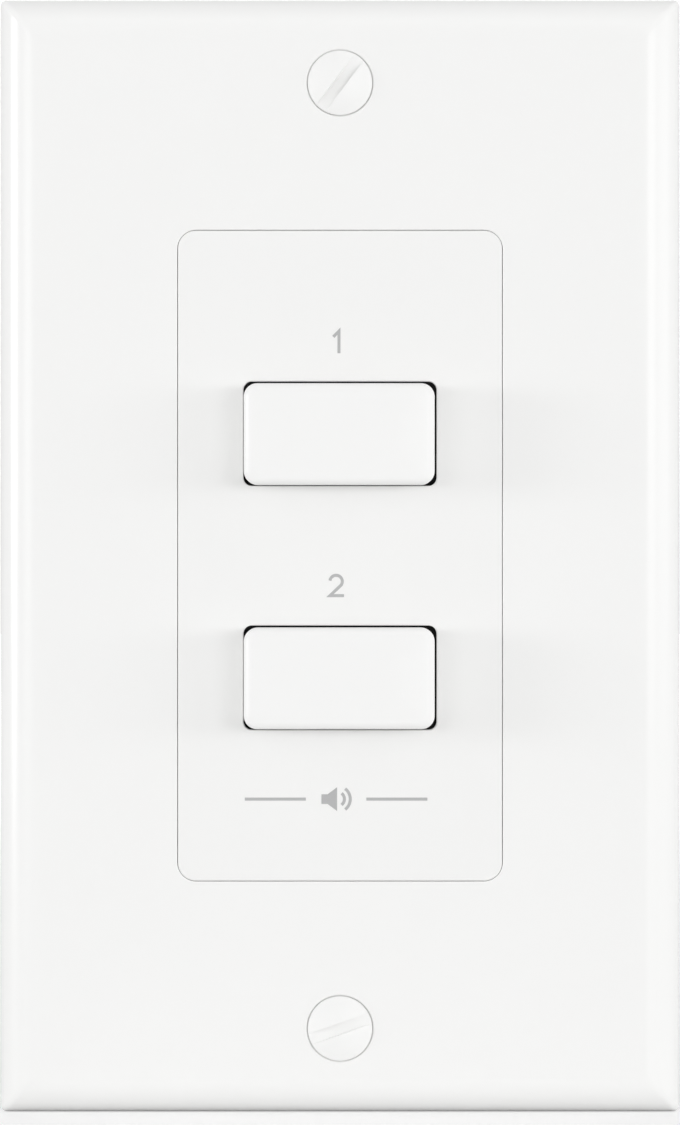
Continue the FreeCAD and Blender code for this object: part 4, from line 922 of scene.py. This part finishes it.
def button_shell(s, half_x, half_z, x, z, y_places):
    """Grid of a button: from the middle of its face over the rounded edge to the flange, and back inside.

    The face falls back from its middle by crown times the square of the way to the edge, which is a quarter
    of an ellipse, as deep as the edge less the crown.
    """
    front, split, flange_front, flange_back, inner = y_places
    way = np.linspace(0.0, 1.0, 9)[:-1]
    sweep = np.linspace(0.0, math.pi / 2, 10)
    inset = np.concatenate((s.edge + (1 - way) * (half_z - s.edge), s.edge * (1 - np.sin(sweep)),
                            [0.0, 0.0, 0.0, -s.flange, -s.flange, s.wall, s.wall, half_z]))
    y = np.concatenate((front + s.crown * way ** 2,
                        front + s.crown + (s.edge - s.crown) * (1 - np.cos(sweep)),
                        [PLATE_FRONT, split, flange_front, flange_front],
                        [flange_back, flange_back, inner, inner]))
    sharpest = 0.05
    corner = np.maximum(s.corner - np.maximum(inset, 0.0) * 0.9, sharpest)
    corner[inset < 0] = s.corner
    corner = np.minimum(corner, half_z - inset)
    return nested_loops(half_x - inset, half_z - inset, corner, y, x, z)


def inside_cap(middle, half_x, half_z, corner, x, z):
    """Which face centres lie clearly inside the cap's outline, which is a rounded rectangle.

    The distance outside it is the length of what exceeds the corner circles' centres, less their radius.
    """
    clear = 0.06
    past_x = np.abs(middle[:, 0] / MM - x) - (half_x - corner)
    past_z = np.abs(middle[:, 2] / MM - z) - (half_z - corner)
    outside = np.hypot(np.maximum(past_x, 0.0), np.maximum(past_z, 0.0)) - corner
    outside += np.minimum(np.maximum(past_x, past_z), 0.0)
    return outside < -clear


class SELECTOR_OT_buttons(PieceOperator, bpy.types.Operator):
    """Two push buttons: a white cap with a rounded face on a carrier with its flange and socket, coloured
    near black as painted shade for the gap round the cap
    """

    bl_idname = "selector.buttons"
    bl_label = "Push buttons"

    def execute(self, context):
        s = in_mm(context.scene.selector_buttons)
        bore = s.stem / 2 + s.socket_clearance
        socket = bore + s.socket_wall
        for side in SWITCHES:
            low, high = extent("button_" + side)
            half_x, half_z = high[0] - s.flange, (high[2] - low[2]) / 2 - s.flange
            x, z = -s.lean, BUTTON_Z[side] - getattr(s, side + "_sag")
            front, socket_back = low[1], high[1]
            flange_back = socket_back - s.socket_extra
            flange_front = flange_back - s.flange_thickness
            split = flange_front - s.carrier
            inner = front + s.wall
            shell = button_shell(s, half_x, half_z, x, z, (front, split, flange_front, flange_back, inner))
            cap = make_piece(side + "_push_button", [sheet(shell)])
            root = inner - 0.5                   # the socket and the ribs start inside the front wall
            for wide, high_z, back in ((socket, socket, socket_back),
                                       (half_x - s.wall / 2, s.rib / 2, flange_front),
                                       (s.rib / 2, half_z - s.wall / 2, flange_front)):
                carve(cap, [bar(wide, high_z, root, back, x, z)], "UNION")
            bore_front = socket_back - s.socket_depth - s.socket_clearance
            carve(cap, [bar(bore, bore, bore_front, socket_back + PAST, x, z)])
            dress(cap, "button_plastic", body=side + "_button", replaces=["button_" + side])
            # Painted shade: the carrier behind the split and the faces inside the cap's hollow get the
            # near-black finish, so the gap round the cap and the hollow read dark.
            hollow_shade_y = (inner - 0.6) * MM
            second_material(cap, finish("carrier_plastic"), lambda middle: (middle[:, 1] > split * MM) | (
                inside_cap(middle, half_x, half_z, s.corner, x, z) & (middle[:, 1] > hollow_shade_y)))
        return {"FINISHED"}


def figure_one(height, stroke):
    """Strokes of a plain 1 round its own centre: a flag that turns into the stem."""
    half = height / 2 - stroke / 2
    stem, flag = 0.12 * height, 0.24 * height
    return [[(stem - flag, half - flag), (stem, half), (stem, -half - stroke / 2)]]


def figure_two(height, stroke):
    """Strokes of a plain 2 round its own centre: a bowl, a slanting neck and a foot."""
    half = height / 2 - stroke / 2
    bowl = 0.26 * height
    arc = arc_path((0.0, half - bowl), bowl, 172, -36, 16)
    foot = [(-bowl, -half), (bowl + stroke / 2, -half)]
    return [np.concatenate((arc, foot))]


def printed(strokes, x, z, width, film):
    """Ink bands of one width along the strokes, round the point (x, z) of the insert's face."""
    base, top = PLATE_FRONT + film, PLATE_FRONT - film
    return [ribbon(np.asarray(path) + (x, z), width, base, top) for path in strokes]


def loudspeaker(s, x, z):
    """A plain loudspeaker sign round (x, z): a magnet, a cone that widens to the right and two sound arcs."""
    magnet_x, cone_x, mouth_x = x - 1.5, x - 0.85, x + 0.1
    magnet_half = 0.21 * s.height
    back, front = PLATE_FRONT + s.film, PLATE_FRONT - s.film
    ends = [np.broadcast_to(np.array([along, PLATE_FRONT, z]), (1, 4, 3)) for along in (cone_x, mouth_x)]
    cone = np.array([[(along, back, z - half), (along, front, z - half), (along, front, z + half),
                      (along, back, z + half)]
                     for along, half in ((cone_x, magnet_half), (mouth_x, s.height / 2))])
    arcs = [arc_path((mouth_x, z), radius, -52, 52) for radius in (0.75, 1.35)]
    return [*printed([[(magnet_x, z), (cone_x, z)]], 0.0, 0.0, 2 * magnet_half, s.film),
            sheet(np.concatenate((ends[0], cone, ends[1]))), *printed(arcs, 0.0, 0.0, s.stroke, s.film)]


class SELECTOR_OT_legends(PieceOperator, bpy.types.Operator):
    """Printed numerals above the buttons, and a plain loudspeaker sign between two rules"""

    bl_idname = "selector.legends"
    bl_label = "Legends"

    def execute(self, context):
        s = in_mm(context.scene.selector_legends)
        x, sign_z = -s.left, BUTTON_Z["lower"] - s.below
        rules = [[(side * s.rule_gap, 0.0), (side * s.width / 2, 0.0)] for side in (-1, 1)]
        legends = {}
        for name, side, figure in (("legend_1", "upper", figure_one), ("legend_2", "lower", figure_two)):
            strokes = figure(s.height, s.stroke)
            legends[name] = printed(strokes, x, BUTTON_Z[side] + s.above, s.stroke, s.film)
        legends["legend_loudspeaker"] = [*loudspeaker(s, x, sign_z),
                                         *printed(rules, x, sign_z, s.stroke, s.film)]
        for name, sheets in legends.items():
            dress(make_piece(name, sheets), "insert_plastic", material=finish("ink"))
        return {"FINISHED"}


PIN_X = (-6.8, -4.4, -2.0, 2.0, 4.4, 6.8)        # a switch's pins along X
PIN_HALF = 0.15                                  # half a switch pin's thickness along Z
TERMINAL_PIN_HALF = 0.5                          # half a terminal pin's width along Z
WIRE_PITCH = 5.08                                # between a terminal block's wires


def pin_rows(side):
    """The middle of a switch's two rows of pins and how far each lies from it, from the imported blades."""
    low, high = extent(side + "_switch_terminals")
    return (low[2] + high[2]) / 2, (high[2] - low[2]) / 2 - PIN_HALF


def terminal_places(name):
    """Where a block's four pins come through the board: (x, z), bottom to top."""
    low, high = extent(name + "_terminal_pins")
    x = (low[0] + high[0]) / 2
    return [(x, z) for z in np.linspace(low[2] + TERMINAL_PIN_HALF, high[2] - TERMINAL_PIN_HALF, 4)]


def solder_fillet(pad, neck, face, out, height, x, z):
    """Solder joint: a pad's disc and a hollow-sided cone that climbs the pin.

    The cone's radius falls from near the pad's to the neck's with a power of the way still to climb, and out
    is its direction along Y.
    """
    climb = np.linspace(0.0, 1.0, 7)
    radius = neck + (pad * 0.9 - neck) * (1 - climb) ** 2.2
    profile_r = np.concatenate(([0.0, pad, pad, pad * 0.96], radius, [neck * 0.55, 0.0]))
    rise = np.concatenate(([-0.02, -0.02, 0.03, 0.05], 0.05 + climb * height, [height + 0.12, height + 0.14]))
    return turned(profile_r, face + out * rise, x, z, steps=20)


def speaker_tracks(width, back, top):
    """Bands from each switch's middle poles to the four pins of its terminal block, up and down alike."""
    tracks = []
    for side, name in zip(SWITCHES, ("output_1", "output_2")):
        middle, row = pin_rows(side)
        block_x = terminal_places(name)[0][0]
        for end in (-1, 1):
            pin, inner, bend, outer = (middle + end * z for z in (row, WIRE_PITCH / 2, 6.1, WIRE_PITCH * 1.5))
            near = [(4.4, pin), (5.5, inner), (block_x, inner)]
            far = [(-4.4, pin), (-1.95, bend), (10.6, bend), (12.1, outer), (block_x, outer)]
            tracks += [ribbon(path, width, back, top) for path in (near, far)]
    return tracks


def printed_outline(left, right, bottom, top, width, back):
    """Closed printed line round a rectangle of the board's rear face."""
    corners = [(left, bottom), (right, bottom), (right, top), (left, top)]
    return ribbon(corners, width, back, BOARD_BACK + 0.02, closed=True)


class SELECTOR_OT_board_details(PieceOperator, bpy.types.Operator):
    """Solder joints, speaker tracks under the mask and printed outlines of the circuit board"""

    bl_idname = "selector.board_details"
    bl_label = "Board details"

    def execute(self, context):
        s = in_mm(context.scene.selector_board)
        pin_neck, terminal_neck = 0.45, 0.55
        back = BOARD_BACK - 0.01                 # tracks and print start just inside the board
        joints = []
        for side in SWITCHES:
            middle, row = pin_rows(side)
            joints += [solder_fillet(s.pad, pin_neck, BOARD_BACK, 1, s.fillet, x, middle + end * row)
                       for x in PIN_X for end in (-1, 1)]
        for name in TERMINALS:
            joints += [solder_fillet(s.big_pad, terminal_neck, BOARD_FRONT, -1, s.fillet, x, z)
                       for x, z in terminal_places(name)]
        outlines = []
        for name in TERMINALS:
            low, high = extent(name + "_terminal_body")
            inner, outer = s.print_margin, s.print_margin * 0.6
            left, right = (outer, inner) if low[0] < 0 else (inner, outer)
            outlines.append(printed_outline(low[0] - left, high[0] + right, low[2] - inner, high[2] + inner,
                                            s.print_width, back))
        for side in SWITCHES:
            low, high = extent(side + "_switch_case")
            outlines.append(printed_outline(low[0], high[0], low[2], high[2], s.print_width, back))
        solder = make_piece("solder_joints", joints)
        dress(solder, "tinned", material=finish("solder"))
        copper = make_piece("speaker_tracks", speaker_tracks(s.track, back, BOARD_BACK + s.copper))
        dress(copper, "board_laminate", material=finish("mask_over_copper"))
        lines = make_piece("board_outlines", outlines)
        dress(lines, "board_laminate", material=finish("board_ink"))
        return {"FINISHED"}


class SELECTOR_OT_node_finishes(PieceOperator, bpy.types.Operator):
    """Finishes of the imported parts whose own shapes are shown"""

    bl_idname = "selector.node_finishes"
    bl_label = "Finishes"

    def execute(self, context):
        for name, node in frame["nodes"].items():
            if node.hide_render:
                continue
            if not node.material_slots:
                raise RuntimeError(name + " has no material slot")
            for material_slot in node.material_slots:
                material_slot.material = finish(NODE_SLOTS[name])
        return {"FINISHED"}


# ---------------------------------------------------------------- stage

# Each softbox: width and height in metres, azimuth and elevation in degrees, and share shown in reflections
SOFTBOXES = {
    "front_right": ((0.8, 0.36), 26, 4, 0.35),
    "front_left": ((0.8, 0.36), -26, 4, 0.5),
    "right": ((1.4, 0.36), 64, 4, 0.2),
    "left": ((0.6, 0.36), -72, 4, 1.0),
    "rear": ((1.6, 0.9), 180, 14, 1.0),
}


def softbox(name, power, size, azimuth, elevation, gloss, distance=2.0):
    """An area light that faces the origin from an azimuth (0 in front, 90 to the right) and an elevation.

    Only the share of its power that gloss gives shows in reflections; the rest is a second lamp in its place.
    """
    turn, rise = math.radians(azimuth), math.radians(elevation)
    for label, part, mirrored in ((name, gloss, True), (name + "_matte", 1.0 - gloss, False)):
        if part <= 0.0:
            continue
        lamp = bpy.data.lights.new(label, "AREA")
        lamp.shape = "RECTANGLE"
        lamp.size, lamp.size_y = size
        lamp.energy = power * part
        holder = bpy.data.objects.new(label, lamp)
        holder.location = (distance * math.sin(turn) * math.cos(rise),
                           -distance * math.cos(turn) * math.cos(rise), distance * math.sin(rise))
        holder.rotation_euler = (math.pi / 2 - rise, 0.0, turn)
        holder.visible_glossy = mirrored
        bpy.context.scene.collection.objects.link(holder)


def white_surroundings(scene, s):
    """A world that is white to look at, lights mostly from the front, and reflects darker low down.

    The light from a direction is ambient times (rear share + the rest times how far it points to -Y),
    and side fill times how far it points to either side.
    """
    mirrored_top = 0.7                           # from this height of a reflected direction, gloss sees white
    world = bpy.data.worlds.new("surroundings")
    world.use_nodes = True
    tree = world.node_tree
    tree.nodes.clear()
    path = add_node(tree, "ShaderNodeLightPath").outputs
    seen = math_node(tree, "MAXIMUM", path["Is Camera Ray"], path["Is Transmission Ray"])
    direction = add_node(tree, "ShaderNodeTexCoord").outputs["Generated"]
    along = add_node(tree, "ShaderNodeSeparateXYZ", {0: direction}).outputs
    reflected = add_node(tree, "ShaderNodeMapRange", {
        "Value": along["Z"], "From Min": 0.0, "From Max": mirrored_top, "To Min": s.horizon,
        "To Max": 1.0}).outputs[0]
    diffuse = add_node(tree, "ShaderNodeMapRange", {
        "Value": along["Y"], "From Min": -1.0, "From Max": 0.0, "To Min": s.ambient,
        "To Max": s.ambient * s.rear_share}).outputs[0]
    diffuse = math_node(tree, "MULTIPLY_ADD", math_node(tree, "ABSOLUTE", along["X"]), s.side_fill, diffuse)
    lit = math_node(tree, "MULTIPLY_ADD", path["Is Glossy Ray"],
                    math_node(tree, "SUBTRACT", reflected, diffuse), diffuse)
    strength = math_node(tree, "MAXIMUM", seen, lit)
    background = add_node(tree, "ShaderNodeBackground", {"Color": (1, 1, 1, 1), "Strength": strength})
    add_node(tree, "ShaderNodeOutputWorld", {"Surface": background.outputs[0]})
    scene.world = world


def floor_material(base, glow):
    """Pale floor with a faint mottle, lifted for the camera alone, which fades to white further away."""
    fade_start, fade_end = 0.3, 1.5              # metres from the middle of the floor
    material = bpy.data.materials.new("pale_floor")
    material.use_nodes = True
    tree = material.node_tree
    tree.nodes.clear()
    place = object_place(tree)
    mottle = math_node(tree, "MULTIPLY_ADD", noise(tree, place, 8.0, 3.0), 0.02, 0.99)
    shader = add_node(tree, "ShaderNodeBsdfPrincipled", {
        "Base Color": shaded(tree, tuple(base), mottle), "Roughness": 0.9, "Specular IOR Level": 0.1})
    path = add_node(tree, "ShaderNodeLightPath").outputs
    away = add_node(tree, "ShaderNodeVectorMath", {0: place}, operation="LENGTH").outputs["Value"]
    fade = add_node(tree, "ShaderNodeMapRange", {
        "Value": away, "From Min": fade_start, "From Max": fade_end, "To Min": glow, "To Max": 1.0},
        interpolation_type="SMOOTHSTEP").outputs[0]
    strength = math_node(tree, "MULTIPLY", path["Is Camera Ray"], fade)
    lift = add_node(tree, "ShaderNodeEmission", {"Color": (1, 1, 1, 1), "Strength": strength})
    both = add_node(tree, "ShaderNodeAddShader", {0: shader.outputs[0], 1: lift.outputs[0]})
    add_node(tree, "ShaderNodeOutputMaterial", {"Surface": both.outputs[0]})
    return material


class SELECTOR_OT_stage(PieceOperator, bpy.types.Operator):
    """Pale floor, even light, five softboxes and the camera"""

    bl_idname = "selector.stage"
    bl_label = "Stage"

    def execute(self, context):
        s = in_mm(context.scene.selector_stage)
        scene = context.scene
        scene.view_settings.view_transform = "Standard"
        clearance, reach = 0.005, 4000.0
        ground = PLATE_LOW[2] - clearance
        corners = np.array([[(-reach, -reach, ground), (reach, -reach, ground)],
                            [(-reach, reach, ground), (reach, reach, ground)]])
        floor = make_piece("floor", [sheet(corners, wrap_columns=False)])
        floor.data.materials.append(floor_material(s.floor, s.glow))
        white_surroundings(scene, s)
        for name, values in SOFTBOXES.items():
            softbox(name + "_light", getattr(s, name), *values)
        long_side, sensor = 1125, 36.0           # the picture's long side in pixels, and the sensor's in mm
        camera_data = bpy.data.cameras.new("camera")
        camera_data.sensor_width = sensor
        camera_data.lens = s.pixels_per_mm * s.distance * sensor / long_side
        camera_data.clip_start = 0.01
        camera_data.clip_end = 20.0
        camera = bpy.data.objects.new("camera", camera_data)
        camera.location = (0.0, (PLATE_FRONT - s.distance) * MM, s.rise * MM)
        camera.rotation_euler = (math.pi / 2, 0.0, 0.0)
        scene.collection.objects.link(camera)
        scene.camera = camera
        return {"FINISHED"}


# ---------------------------------------------------------------- add-on

SETTINGS = {
    "selector_plate": PlateSettings, "selector_buttons": ButtonSettings, "selector_screws": ScrewSettings,
    "selector_legends": LegendSettings, "selector_board": BoardSettings, "selector_finish": FinishSettings,
    "selector_stage": StageSettings,
}
OPERATORS = (
    SELECTOR_OT_wall_plate, SELECTOR_OT_plate_screws, SELECTOR_OT_box_screws, SELECTOR_OT_small_screws,
    SELECTOR_OT_springs, SELECTOR_OT_buttons, SELECTOR_OT_legends, SELECTOR_OT_board_details,
    SELECTOR_OT_node_finishes, SELECTOR_OT_stage,
)


class SELECTOR_PT_pieces(bpy.types.Panel):
    """The pieces of the speaker selector and their settings"""

    bl_idname = "SELECTOR_PT_pieces"
    bl_label = "Speaker selector"
    bl_space_type = "VIEW_3D"
    bl_region_type = "UI"
    bl_category = "Selector"

    def draw(self, context):
        for operator in OPERATORS:
            self.layout.operator(operator.bl_idname)
        for name in SETTINGS:
            box = self.layout.box()
            group = getattr(context.scene, name)
            for key in setting_names(group):
                box.prop(group, key)


def register():
    """Makes the settings, the operators and the panel known to Blender."""
    for settings in SETTINGS.values():
        bpy.utils.register_class(settings)
    for name, settings in SETTINGS.items():
        setattr(bpy.types.Scene, name, bpy.props.PointerProperty(type=settings))
    for shown in (*OPERATORS, SELECTOR_PT_pieces):
        bpy.utils.register_class(shown)


def unregister():
    """Takes them back in reverse order."""
    for shown in (SELECTOR_PT_pieces, *reversed(OPERATORS)):
        bpy.utils.unregister_class(shown)
    for name in SETTINGS:
        delattr(bpy.types.Scene, name)
    for settings in reversed(list(SETTINGS.values())):
        bpy.utils.unregister_class(settings)


def main():
    """Builds every piece and the stage."""
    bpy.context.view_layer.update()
    register()
    bpy.ops.selector.wall_plate()
    bpy.ops.selector.plate_screws()
    bpy.ops.selector.box_screws()
    bpy.ops.selector.small_screws()
    bpy.ops.selector.springs()
    bpy.ops.selector.buttons()
    bpy.ops.selector.legends()
    bpy.ops.selector.board_details()
    bpy.ops.selector.node_finishes()
    bpy.ops.selector.stage()


if __name__ == "__main__":
    main()
